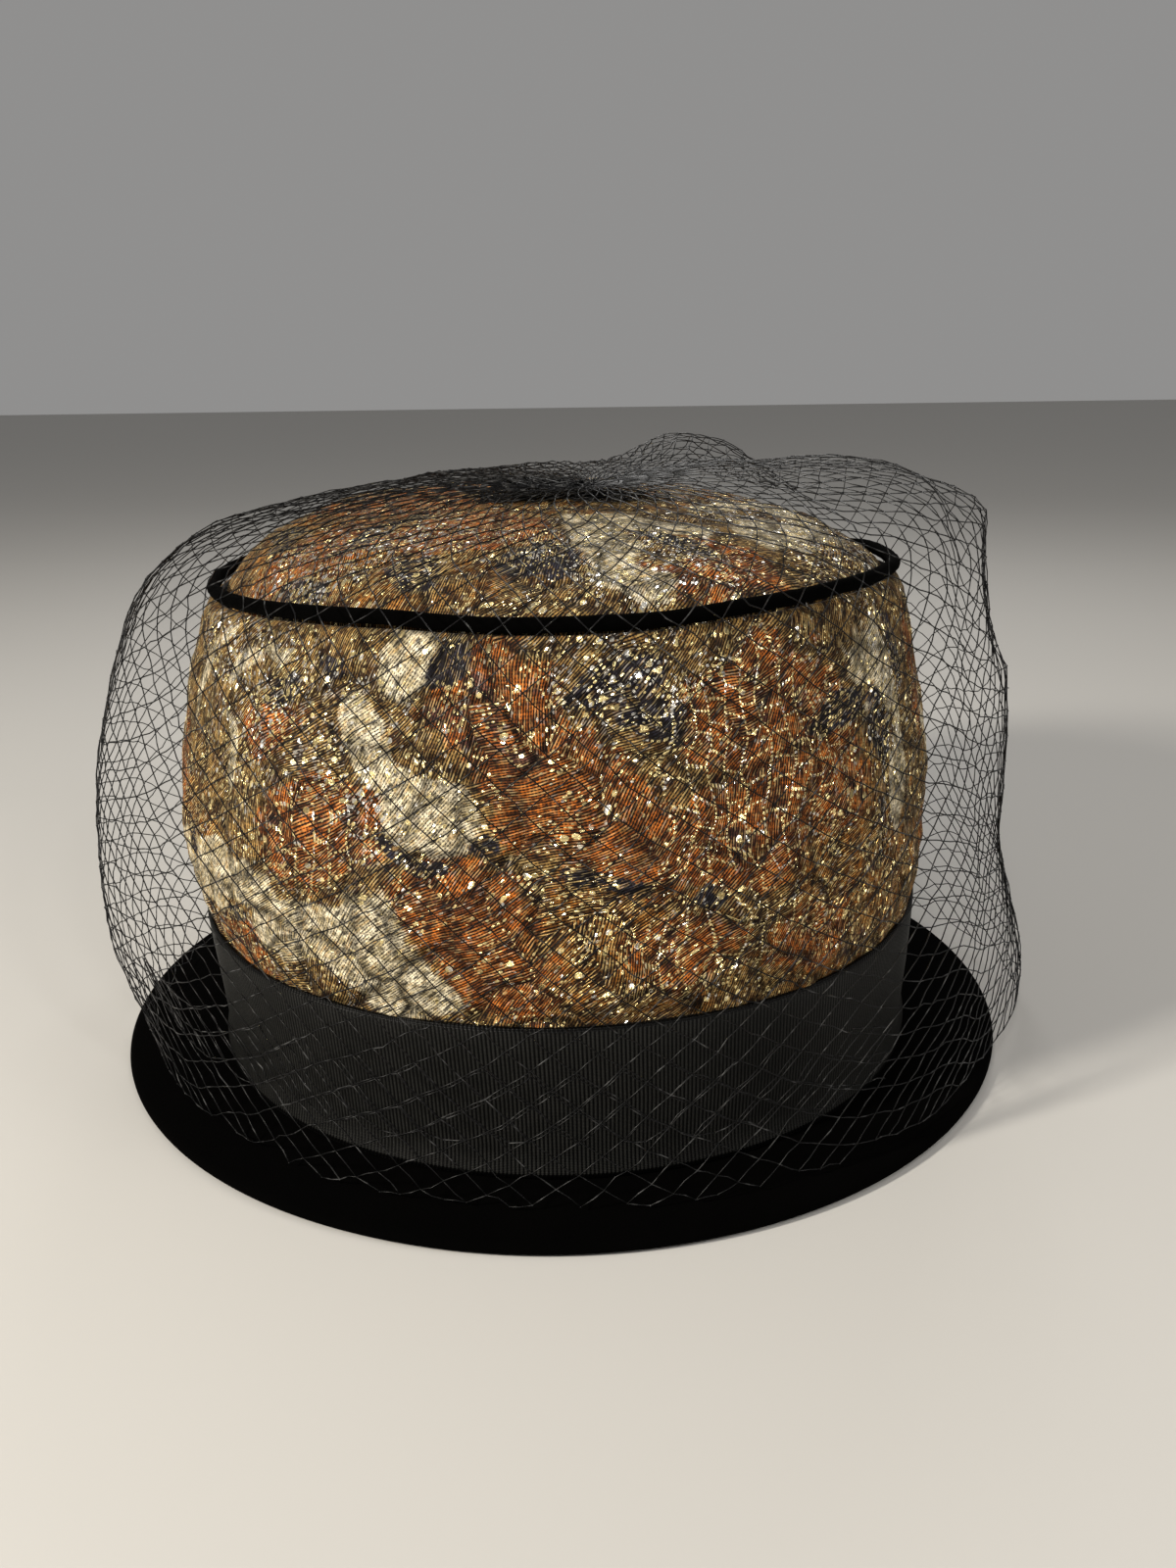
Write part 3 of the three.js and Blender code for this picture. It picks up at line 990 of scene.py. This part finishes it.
# the wall's outside takes the relief, and it fades out where the ribbon and the piping hold it
def reliefGroup(piece, weights):
    group = piece.vertex_groups.new(name="relief")
    steps = np.round(np.clip(weights, 0, 1) * 20).astype(int)
    for step in range(1, 21):
        chosen = np.nonzero(steps == step)[0].tolist()
        if chosen:
            group.add(chosen, step / 20, "REPLACE")


def makeCrownSide():
    c = crownSide
    rows = c["swell"]
    inner = [sideRing(rows[i], c["wall"]) for i in c["innerRows"]]
    inner[0]["up"] -= c["topTuck"]
    piece = ringStack("side", c["segments"], [sideRing(row) for row in rows] + inner)
    closeStack()
    subdivided(piece, c["levels"])
    points = pointsOf(piece)
    putPoints(piece, settled(points.copy()))
    heights = [sideLow.z + (sideHigh.z - sideLow.z) * row["up"] for row in rows]
    reach = np.interp(points[:, 2], heights, [sideRing(row)["wide"] for row in rows])
    shift = np.interp(points[:, 2], heights, [sideRing(row)["shift"] for row in rows])
    across = (points[:, 0] - shift) / reach
    along = points[:, 1] / (reach + ovalExtra)
    outside = np.hypot(across, along) > 1 - 0.4 * c["wall"] / c["topHalfWidth"]
    lowFade = np.clip((points[:, 2] - (bandHigh.z - c["held"])) / c["lowFade"], 0, 1)
    highFade = np.clip((sideHigh.z - points[:, 2]) / c["highFade"], 0, 1)
    reliefGroup(piece, outside * lowFade * highFade)
    puckered(piece, "relief", "side puffs", "CLOUDS", c["puffSize"], c["puffDepth"])
    puckered(piece, "relief", "side crinkles", "VORONOI", c["crinkleSize"], c["crinkleDepth"], 0.3)
    smoothen(piece)
    layWeave(piece, c["clothRadius"])
    paintPatches(piece, allRound(sidePatches), 2 * math.pi * c["clothRadius"] / mm)
    finished(piece, "crown_side_brocade", [brocadeCloth, foundation], ["crown_side"])
    paintInside(piece)
    return piece


# the cloth's repeat shows once in front and once, turned over, at the back
def allRound(patches):
    perDegree = crownSide["clothRadius"] / mm * math.pi / 180
    middle = (bandHigh.z + sideHigh.z) / mm
    found = {}
    for kind, rows in patches.items():
        front = [(at * perDegree, *rest) for at, *rest in rows]
        back = [((180 - at) * perDegree, middle - up, *rest) for at, up, *rest in rows]
        found[kind] = front + back
    return found


# faces that look towards the axis are the foundation's
def paintInside(piece):
    normals, centres = faceVectors(piece, "normal"), faceVectors(piece, "center")
    inwards = (normals[:, :2] * centres[:, :2]).sum(1) < 0
    reach = np.hypot(centres[:, 0], centres[:, 1] * centres[:, 0].max() / centres[:, 1].max())
    heights = [sideLow.z, bandHigh.z, sideHigh.z]
    deep = reach < np.interp(centres[:, 2], heights, crownSide["insideReach"])
    giveSecondMaterial(piece, inwards & deep)


makeCrownSide()


# crown tip: the puffed dome
crownTip = {
    "segments": 72,
    "wall": 2.6 * mm,
    "levels": 3,
    "puffSize": 15 * mm,
    "puffDepth": 2.0 * mm,
    "crinkleSize": 4.5 * mm,
    "crinkleDepth": 0.8 * mm,
    "leftRise": 3.2 * mm,
    "edgeHeld": 1 * mm,
    "edgeFade": 5 * mm,
    "rows": [
        {"out": 1, "up": 0},
        {"out": 1, "up": 0.15},
        {"out": 1, "up": 0.28},
        {"out": 0.955, "up": 0.42},
        {"out": 0.87, "up": 0.58},
        {"out": 0.72, "up": 0.76},
        {"out": 0.53, "up": 0.885},
        {"out": 0.32, "up": 0.96},
        {"out": 0.13, "up": 0.99},
    ],
}


def makeCrownTip():
    c = crownTip
    rise = tipHigh.z - tipLow.z
    rings = [ring(tipHalfWidth * row["out"], tipLow.z + rise * row["up"]) for row in c["rows"]]
    piece = ringStack("tip", c["segments"], rings)
    bpy.ops.mesh.extrude_edges_move(TRANSFORM_OT_translate={"value": (0, 0, 0)})
    bpy.ops.mesh.merge(type="CENTER")
    faceOutwards()
    wall = piece.modifiers.new("wall", "SOLIDIFY")
    wall.thickness = c["wall"]
    wall.offset = -1
    applyModifiers(piece)
    outerCount = c["segments"] * len(rings) + 1
    outer = np.arange(len(piece.data.vertices)) < outerCount
    group = piece.vertex_groups.new(name="outside")
    group.add(np.nonzero(outer)[0].tolist(), 1.0, "REPLACE")
    subdivided(piece, c["levels"])
    points = pointsOf(piece)
    share = np.hypot(points[:, 0] / tipHalfWidth, points[:, 1] / (tipHalfWidth + ovalExtra))
    leftness = np.clip(-points[:, 0] / np.hypot(points[:, 0], points[:, 1] + 1e-6), 0, 1) ** 2
    swelling = np.clip((1 - share) / 0.12, 0, 1) * np.clip((share - 0.25) / 0.4, 0, 1)
    points[:, 2] += c["leftRise"] * leftness * swelling
    putPoints(piece, settled(points.copy()))
    index = piece.vertex_groups["outside"].index
    shares = [sum(g.weight for g in v.groups if g.group == index) for v in piece.data.vertices]
    outside = np.clip(np.array(shares) * 2 - 1, 0, 1)
    above = points[:, 2] - tipLow.z - c["edgeHeld"]
    reliefGroup(piece, outside * np.clip(above / c["edgeFade"], 0, 1))
    puckered(piece, "relief", "tip puffs", "CLOUDS", c["puffSize"], c["puffDepth"])
    puckered(piece, "relief", "tip crinkles", "VORONOI", c["crinkleSize"], c["crinkleDepth"], 0.3)
    smoothen(piece)
    layWeave(piece, 0)
    paintPatches(piece, tipPatches, 0)
    finished(piece, "crown_tip_brocade", [brocadeCloth, foundation], ["crown_tip"])
    giveSecondMaterial(piece, faceVectors(piece, "normal")[:, 2] < -0.15)
    return piece


makeCrownTip()


# piping: a velvet cord that wanders a little up and down along its seam
piping = {
    "around": 256,
    "across": 14,
    "wander": 0.7 * mm,
    "wanderSize": 38 * mm,
    "swell": 0.35 * mm,
    "swellSize": 5 * mm,
}


def makePiping():
    deselectAll()
    bpy.ops.mesh.primitive_torus_add(
        major_segments=piping["around"],
        minor_segments=piping["across"],
        major_radius=pipeHalfWidth,
        minor_radius=pipeRadius,
        location=(0, 0, pipeHeight),
    )
    piece = bpy.context.object
    bpy.ops.object.transform_apply(location=True, rotation=True, scale=True)
    points = pointsOf(piece)
    spread = np.hypot(points[:, 0], points[:, 1])
    points[:, 1] *= (spread + ovalExtra) / spread
    for i, p in enumerate(points):
        seam = Vector((p[0], p[1], 0)).normalized() * 0.1
        points[i, 2] += noise.noise(seam / piping["wanderSize"] + Vector((3, 0, 0))) * piping["wander"]
    putPoints(piece, settled(points))
    puckered(piece, "", "piping swell", "CLOUDS", piping["swellSize"], piping["swell"])
    smoothen(piece)
    return finished(piece, "piping_velvet", [velvet], ["piping"])


makePiping()


# ribbon: one strip right round, woven in upright ribs
ribbon = {
    "ribs": 660,
    "ribDepth": 0.2 * mm,
    "thickness": 1.0 * mm,
    "clearance": 0.3 * mm,
    "flare": 1.6 * mm,
    "flareShare": 0.18,
    "topInset": 0.25 * mm,
    "ribShape": [0.0, 0.75, 1.0, 0.75],
    "ripple": 0.3 * mm,
    "rippleScale": 3.2,
    "rippleRise": 14,
    "edgeRipple": 0.7 * mm,
    "edgeDrop": 0.2 * mm,
    "edgeRib": 0.12 * mm,
    "heights": [0.0, 0.03, 0.1, 0.2, 0.5, 0.8, 0.97, 1.0],
}


def makeRibbon():
    r = ribbon
    rise = bandHigh.z - bandLow.z
    sideRise = sideHigh.z - sideLow.z

    def bandRing(up, inwards):
        swell = crownSide["swell"]
        share = rise * up / sideRise
        row = {"up": share}
        for end in ("left", "right"):
            row[end] = float(np.interp(share, [s["up"] for s in swell], [s[end] for s in swell]))
        found = sideRing(row)
        flare = r["flare"] * max(0, 1 - up / r["flareShare"]) ** 1.5
        spread = r["clearance"] + r["thickness"] - inwards + flare
        return ring(found["wide"] + spread, bandLow.z + rise * up, found["shift"])

    outside = [bandRing(up, 0) for up in r["heights"]]
    outside[-1] = bandRing(1.0, r["topInset"])
    inside = [bandRing(up, r["thickness"]) for up in (1.0, 0.2, 0.0)]
    count = r["ribs"] * len(r["ribShape"])
    piece = ringStack("ribbon", count, outside + inside)
    closeStack()
    points = pointsOf(piece)
    level = np.arange(len(points)) // count
    column = np.arange(len(points)) % count
    rib = np.array(r["ribShape"])[column % len(r["ribShape"])]
    outwards = points[:, :2] / np.hypot(points[:, 0], points[:, 1])[:, None]
    onFace = (level > 0) & (level < len(outside) - 1)
    turn = np.arctan2(points[:, 1], points[:, 0])
    places = np.stack([np.cos(turn), np.sin(turn), points[:, 2] * r["rippleRise"]], 1)
    ripple = np.array([noise.noise(Vector(place) * r["rippleScale"]) for place in places])
    share = (points[:, 2] - bandLow.z) / rise
    loose = (level < len(outside)) * np.clip(share, 0, 1)
    push = onFace * rib * r["ribDepth"] + loose * ripple * r["ripple"]
    points[:, :2] += outwards * push[:, None]
    points[:, 2] += (share > 0.9) * (ripple * r["edgeRipple"] - r["edgeDrop"] + rib * r["edgeRib"])
    putPoints(piece, settled(points))
    smoothen(piece)
    ownAttribute(piece, "ribs", np.repeat((rib * onFace)[:, None], 4, 1))
    finished(piece, "hat_band_ribbon", [grosgrain], ["hat_band"])
    return piece


makeRibbon()


# veil: a net of diamonds, gathered at the knot and let down over the crown
veil = {
    "columns": 70,
    "bar": 6.0 * mm,
    "threadRadius": 0.165 * mm,
    "knotRadius": 0.27 * mm,
    "fullness": 24 * mm,
    "gatherRadius": 2.2 * mm,
    "gatherSide": 9 * mm,
    "gatherFront": 26 * mm,
    "gatherLift": 1.6 * mm,
    "tipClearance": 1.5 * mm,
    "ribbonClearance": 0.5 * mm,
    "brimClearance": 0.6 * mm,
    "hemInset": 0.08,
    "crownStation": 0.58,
    "highStation": 0.74,
    "lowStation": 0.36,
    "jitter": 0.55 * mm,
    "jitterScales": [(130, 1.0), (45, 1.4)],
    "slack": 0.5 * mm,
    "seed": 7,
    "rows": [
        dict(degrees=0, crown=0.34, edgeOut=0.82, edgeUp=0.46, high=0.86, low=0.76, hem=1.12),
        dict(degrees=45, crown=0.3, edgeOut=0.46, edgeUp=0.26, high=0.72, low=0.88, hem=0.86),
        dict(degrees=90, crown=0.22, edgeOut=0.3, edgeUp=0.12, high=0.6, low=0.76, hem=0.8),
        dict(degrees=135, crown=0.18, edgeOut=0.34, edgeUp=0.14, high=0.64, low=0.86, hem=0.8),
        dict(degrees=180, crown=0.14, edgeOut=0.4, edgeUp=0.03, high=0.74, low=1.0, hem=0.76),
        dict(degrees=225, crown=0.12, edgeOut=0.26, edgeUp=0.08, high=0.46, low=0.52, hem=0.6),
        dict(degrees=270, crown=0.12, edgeOut=0.16, edgeUp=0.12, high=0.17, low=0.24, hem=0.55),
        dict(degrees=315, crown=0.2, edgeOut=0.3, edgeUp=0.28, high=0.42, low=0.64, hem=0.82),
    ],
    "folds": [
        dict(degrees=51, width=15, out=0, up=7, fromStep=0.3, toStep=1.9),
        dict(degrees=35, width=6, out=-2, up=-7, fromStep=0.5, toStep=2.4),
        dict(degrees=18, width=12, out=0, up=4, fromStep=1.0, toStep=3.0),
        dict(degrees=352, width=11, out=-6, up=0, fromStep=2.05, toStep=2.9),
        dict(degrees=0, width=20, out=8, up=0, fromStep=3.9, toStep=5.5),
        dict(degrees=8, width=6, out=-4, up=-2, fromStep=1.6, toStep=3.0),
        dict(degrees=90, width=8, out=-3, up=-4, fromStep=0.6, toStep=4.6),
        dict(degrees=112, width=9, out=4, up=1, fromStep=1.2, toStep=5.0),
        dict(degrees=150, width=8, out=-3, up=0, fromStep=1.2, toStep=5.0),
        dict(degrees=172, width=8, out=2.5, up=1, fromStep=1.4, toStep=3.4),
        dict(degrees=205, width=7, out=3, up=0, fromStep=2.0, toStep=5.0),
        dict(degrees=232, width=7, out=-2, up=0, fromStep=2.4, toStep=5.2),
        dict(degrees=300, width=8, out=-2, up=0, fromStep=2.4, toStep=5.2),
        dict(degrees=322, width=8, out=3, up=1, fromStep=1.6, toStep=5.2),
    ],
    "underlay": dict(fromDegrees=200, toDegrees=312, lift=13 * mm, inwards=2.0 * mm, top=22 * mm),
}


def smoothStep(value):
    value = min(1, max(0, value))
    return value * value * (3 - 2 * value)


def veilShare(column, angle):
    rows = veil["rows"]
    turn = math.degrees(angle) % 360 / (360 / len(rows))
    index = int(turn) % len(rows)
    start, stop = rows[index][column], rows[(index + 1) % len(rows)][column]
    return start + (stop - start) * smoothStep(turn - int(turn))


def sideReach(share, angle):
    rows = crownSide["swell"]
    ups = [row["up"] for row in rows]
    left = np.interp(share, ups, [row["left"] for row in rows])
    right = np.interp(share, ups, [row["right"] for row in rows])
    rightness = 0.5 + 0.5 * math.cos(angle)
    plain = crownSide["footHalfWidth"] + (crownSide["topHalfWidth"] - crownSide["footHalfWidth"]) * share
    return plain + crownSide["bulge"] * (left + (right - left) * rightness)


def tipHeight(out):
    rows = crownTip["rows"][::-1]
    share = np.interp(out / tipHalfWidth, [row["out"] for row in rows], [row["up"] for row in rows])
    return tipLow.z + (tipHigh.z - tipLow.z) * share


def splinePoint(stations, place):
    index = min(len(stations) - 2, int(place))
    t = place - index
    p = [stations[min(len(stations) - 1, max(0, index + i))] for i in (-1, 0, 1, 2)]
    return 0.5 * (
        2 * p[1]
        + (p[2] - p[0]) * t
        + (2 * p[0] - 5 * p[1] + 4 * p[2] - p[3]) * t * t
        + (3 * p[1] - p[0] - 3 * p[2] + p[3]) * t ** 3
    )


# a section of the hanging net at one angle, as points in space and their distances down it
def veilSection(angle, samples=90):
    v = veil
    sideRise = sideHigh.z - sideLow.z

    def stand(column):
        return v["fullness"] * veilShare(column, angle)

    over = tipHalfWidth * v["crownStation"]
    high, low = v["highStation"], v["lowStation"]
    hemShare = veilShare("hem", angle) - v["hemInset"]
    hem = bandHalfWidth + v["ribbonClearance"] + (brimHigh.x - bandHalfWidth) * hemShare
    halfWay = tipHeight(over * 0.5) + v["tipClearance"] + stand("crown") * 0.45
    stations = [
        np.array([v["gatherRadius"], tipHigh.z + v["gatherLift"]]),
        np.array([over * 0.5, halfWay]),
        np.array([over, tipHeight(over) + stand("crown")]),
        np.array([pipeHalfWidth + stand("edgeOut"), pipeHigh.z + stand("edgeUp")]),
        np.array([sideReach(high, angle) + stand("high"), sideLow.z + sideRise * high]),
        np.array([sideReach(low, angle) + stand("low"), sideLow.z + sideRise * low]),
        np.array([hem, brim["thickness"] + brim["rise"] + v["brimClearance"]]),
    ]
    points, steps = [], []
    for i in range(samples + 1):
        place = (len(stations) - 1) * i / samples
        out, up = splinePoint(stations, place)
        out += foldShift(angle, place - 1, "out") * mm
        up += foldShift(angle, place - 1, "up") * mm
        extra = ovalExtra * min(1, out / tipHalfWidth)
        lean = max(0, 1 - out / tipHalfWidth)
        x = out * math.cos(angle) + v["gatherSide"] * lean
        y = (out + extra) * math.sin(angle) - v["gatherFront"] * lean
        points.append((x, y, up))
        steps.append(out)
    points = np.array(points)
    down = np.concatenate([[0], np.cumsum(np.linalg.norm(np.diff(points, axis=0), axis=1))])
    return points, down, np.array(steps)


def foldShift(angle, step, way):
    depth = 0.0
    for fold in veil["folds"]:
        away = (math.degrees(angle) - fold["degrees"] + 180) % 360 - 180
        if abs(away) > 3 * fold["width"]:
            continue
        middle = (fold["fromStep"] + fold["toStep"]) / 2
        half = (fold["toStep"] - fold["fromStep"]) / 2
        along = max(0, 1 - ((step - middle) / half) ** 2)
        depth += fold[way] * math.exp(-((away / fold["width"]) ** 2)) * along
    return depth


# every crossing of the net: the bars have one length, so the diamonds are tall where they are narrow
def netCrossings():
    v = veil
    columns = v["columns"]
    pitch = 2 * math.pi / columns
    places = {}
    for half in range(2 * columns):
        angle = half * pitch / 2
        points, down, out = veilSection(angle)
        at, level = 0.0, 0
        while at <= down[-1] + 0.5 * v["bar"]:
            here = min(at, down[-1])
            if level % 2 == half % 2:
                places[(level, half)] = np.array([np.interp(here, down, points[:, i]) for i in range(3)])
                if at > down[-1]:
                    break
            wide = (np.interp(here, down, out) + ovalExtra / 2) * pitch
            at += math.sqrt(max(v["bar"] ** 2 - (wide / 2) ** 2, (0.45 * v["bar"]) ** 2))
            level += 1
    return places


# at the front a second edge of the net lies under the first, a little higher
def underlay(places):
    u = veil["underlay"]
    pitch = 180 / veil["columns"]
    found = {}
    for (level, half), place in places.items():
        if place[2] > u["top"] or not u["fromDegrees"] < half * pitch < u["toDegrees"]:
            continue
        inner = place.copy()
        inner[:2] -= place[:2] / np.hypot(*place[:2]) * u["inwards"]
        inner[2] += u["lift"]
        found[(level, half)] = inner
    return found


def roughened(places):
    v = veil
    for key, place in places.items():
        level = key[0]
        grip = min(1, level / 6)
        shakes = []
        for scale, share in v["jitterScales"]:
            shakes.append(np.array(noise.noise_vector(Vector(place) * scale)) * share)
        place += sum(shakes) * v["jitter"] * grip
        place[2] = max(place[2], brim["thickness"] + brim["rise"] * 0.5)
    return places


# each bar is a thin spindle of three sides with a slack middle
def netMesh(layers):
    v = veil
    rng = np.random.default_rng(v["seed"])
    around = 2 * v["columns"]
    starts, stops = [], []
    for places in layers:
        for (level, half), place in places.items():
            for side in (-1, 1):
                other = (level + 1, (half + side) % around)
                if other in places:
                    starts.append(place)
                    stops.append(places[other])
    starts, stops = np.array(starts), np.array(stops)
    count = len(starts)
    direction = stops - starts
    direction /= np.linalg.norm(direction, axis=1)[:, None]
    middle = (starts + stops) / 2 + rng.normal(0, v["slack"] * 0.4, (count, 3))
    helper = np.where(np.abs(direction[:, 2:3]) < 0.8, [[0, 0, 1.0]], [[1.0, 0, 0]])
    first = np.cross(direction, helper)
    first /= np.linalg.norm(first, axis=1)[:, None]
    second = np.cross(direction, first)
    rings = []
    for centre, radius in ((starts, 0.9), (middle, 1.0), (stops, 0.9)):
        for corner in range(3):
            turn = 2 * math.pi * corner / 3
            outwards = first * math.cos(turn) + second * math.sin(turn)
            rings.append(centre + outwards * v["threadRadius"] * radius)
    tips = [starts - direction * v["threadRadius"], stops + direction * v["threadRadius"]]
    vertices = np.stack(rings + tips, 1).reshape(-1, 3)
    pattern = []
    for corner in range(3):
        then = (corner + 1) % 3
        pattern += [(9, then, corner), (10, 6 + corner, 6 + then)]
        for base in (0, 3):
            pattern.append((base + corner, base + then, base + 3 + then))
            pattern.append((base + corner, base + 3 + then, base + 3 + corner))
    faces = (np.array(pattern)[None] + 11 * np.arange(count)[:, None, None]).reshape(-1, 3)
    knots = np.array([place for places in layers for place in places.values()])
    shape = np.vstack([np.eye(3), -np.eye(3)])[[0, 3, 1, 4, 2, 5]] * v["knotRadius"]
    upper = [(0, 2, 4), (2, 1, 4), (1, 3, 4), (3, 0, 4)]
    lower = [(2, 0, 5), (1, 2, 5), (3, 1, 5), (0, 3, 5)]
    sides = np.array(upper + lower)
    knotVertices = (knots[:, None] + shape[None]).reshape(-1, 3)
    knotFaces = (sides[None] + 6 * np.arange(len(knots))[:, None, None] + len(vertices)).reshape(-1, 3)
    mesh = bpy.data.meshes.new("net")
    points = np.vstack([vertices, knotVertices])
    mesh.from_pydata(points.tolist(), [], np.vstack([faces, knotFaces]).tolist())
    return mesh


def makeVeil():
    places = netCrossings()
    layers = [roughened(underlay(places)), roughened(places)]
    piece = bpy.data.objects.new("veil_net", netMesh(layers))
    bpy.context.scene.collection.objects.link(piece)
    takeUp(piece)
    bpy.ops.object.mode_set(mode="EDIT")
    faceOutwards()
    smoothen(piece)
    return finished(piece, "veil_net", [netThread], ["veil"])


makeVeil()


# bunch: the crumpled net round the gather, as loose loops of thread
bunch = {
    "loops": 120,
    "halfWidth": 19 * mm,
    "halfDepth": 6 * mm,
    "height": 2.6 * mm,
    "across": -8 * mm,
    "spread": 0.42,
    "spreadDeep": 0.4,
    "thread": 0.17 * mm,
    "lift": 0.8 * mm,
    "lookFrom": 200 * mm,
    "loopRadius": (2.0, 4.5),
    "points": 16,
    "slant": (0.5, 0.4),
    "longer": (1.2, 2.2),
    "narrower": (0.4, 0.9),
    "flatter": 0.6,
    "seed": 3,
}


# every ring of four points round a thread stays above the tip
def liftedOffTip(piece):
    tip = bpy.data.objects["crown_tip_brocade"]
    rings = pointsOf(piece).reshape(-1, 4, 3)
    for around in rings:
        x, y, height = around.mean(axis=0)
        found, place = tip.ray_cast((x, y, bunch["lookFrom"]), (0, 0, -1))[:2]
        if found:
            around[:, 2] += max(0, place.z + 2 * bunch["thread"] - height)
    putPoints(piece, rings.reshape(-1, 3))


def makeBunch():
    rng = random.Random(bunch["seed"])
    pieces = []
    slantX, slantY = bunch["slant"]
    while len(pieces) < bunch["loops"]:
        deselectAll()
        spread = rng.gauss(0, bunch["spread"])
        x = veil["gatherSide"] + bunch["across"] + spread * bunch["halfWidth"]
        y = -veil["gatherFront"] + rng.gauss(0, bunch["spreadDeep"]) * bunch["halfDepth"]
        rise = bunch["height"] * (1 - min(1, abs(spread))) * rng.random()
        bpy.ops.mesh.primitive_torus_add(
            major_segments=bunch["points"],
            minor_segments=4,
            major_radius=rng.uniform(*bunch["loopRadius"]) * mm,
            minor_radius=bunch["thread"],
            location=(x, y, tipHeight(math.hypot(x, y)) + bunch["lift"] + rise),
            rotation=(rng.uniform(-slantX, slantX), rng.uniform(-slantY, slantY), 0),
        )
        piece = bpy.context.object
        longer, narrower = rng.uniform(*bunch["longer"]), rng.uniform(*bunch["narrower"])
        bpy.ops.transform.resize(value=(longer, narrower, bunch["flatter"]))
        pieces.append(piece)
    deselectAll()
    for piece in pieces:
        piece.select_set(True)
    bpy.context.view_layer.objects.active = pieces[0]
    bpy.ops.object.join()
    piece = bpy.context.object
    bpy.ops.object.transform_apply(location=True, rotation=True, scale=True)
    liftedOffTip(piece)
    smoothen(piece)
    return finished(piece, "gather_bunch", [netThread])


makeBunch()


# camera, floor and lights
view = {
    "place": (7.524 * mm, -369.702 * mm, 170.658 * mm),
    "down": 16.7,
    "roll": -0.77,
    "focalPixels": 1490,
    "longSidePixels": 1600,
    "sensor": 36.0,
    "nearest": 10 * mm,
}
floorLook = {"size": 8, "drop": 0.2 * mm, "colour": (0.46, 0.45, 0.43, 1), "roughness": 0.8}
worldLook = {"colour": (0.82, 0.81, 0.8, 1), "strength": 0.34}
lights = {
    "key": {
        "place": (-0.76, -0.58, 0.54),
        "aim": (0, 0, 0.07),
        "size": 0.14,
        "power": 17,
        "colour": (1.0, 0.94, 0.84),
    },
    "fill": {
        "place": (0.8, -0.5, 0.45),
        "aim": (0, 0, 0.06),
        "size": 0.5,
        "power": 3.6,
        "colour": (1.0, 0.95, 0.88),
    },
    "left pane": {
        "place": (-0.15, -0.8, 0.8),
        "aim": (0, 0, 0.08),
        "size": 0.08,
        "power": 1.6,
        "colour": (1.0, 0.98, 0.95),
    },
    "right pane": {
        "place": (0.4, -0.75, 0.7),
        "aim": (0, 0, 0.08),
        "size": 0.08,
        "power": 1.6,
        "colour": (1.0, 0.98, 0.95),
    },
    "top": {
        "place": (0.1, 0.7, 0.75),
        "aim": (0, 0, 0.1),
        "size": 0.3,
        "power": 2.2,
        "colour": (1.0, 0.98, 0.95),
    },
}


def makeCamera():
    data = bpy.data.cameras.new("view")
    camera = bpy.data.objects.new("view", data)
    bpy.context.scene.collection.objects.link(camera)
    data.sensor_width = view["sensor"]
    data.lens = view["focalPixels"] * view["sensor"] / view["longSidePixels"]
    data.clip_start = view["nearest"]
    camera.location = view["place"]
    camera.rotation_mode = "XYZ"
    tilt = Matrix.Rotation(math.radians(90 - view["down"]), 4, "X")
    roll = Matrix.Rotation(math.radians(view["roll"]), 4, "Z")
    camera.rotation_euler = (tilt @ roll).to_euler()
    bpy.context.scene.camera = camera


def softLight(name, place, aim, size, power, colour):
    data = bpy.data.lights.new(name, "AREA")
    data.shape = "DISK"
    data.size = size
    data.energy = power
    data.color = colour
    lamp = bpy.data.objects.new(name, data)
    bpy.context.scene.collection.objects.link(lamp)
    lamp.location = place
    lamp.rotation_euler = (Vector(aim) - Vector(place)).to_track_quat("-Z", "Y").to_euler()


def makeFloor():
    deselectAll()
    bpy.ops.mesh.primitive_plane_add(size=floorLook["size"], location=(0, 0, -floorLook["drop"]))
    floor = bpy.context.object
    floor.name = "pale_floor"
    bpy.ops.object.transform_apply(location=True, rotation=True, scale=True)
    shader = newMaterial("pale floor")[2]
    shader.inputs["Base Color"].default_value = floorLook["colour"]
    shader.inputs["Roughness"].default_value = floorLook["roughness"]
    floor.data.materials.append(bpy.data.materials["pale floor"])


def makeWorld():
    world = bpy.data.worlds.new("pale room")
    world.use_nodes = True
    back = world.node_tree.nodes["Background"]
    back.inputs["Color"].default_value = worldLook["colour"]
    back.inputs["Strength"].default_value = worldLook["strength"]
    bpy.context.scene.world = world


bpy.context.scene.view_settings.view_transform = "Standard"
makeCamera()
makeFloor()
makeWorld()
for name, light in lights.items():
    softLight(name, **light)
print("camera, floor and lights ready")
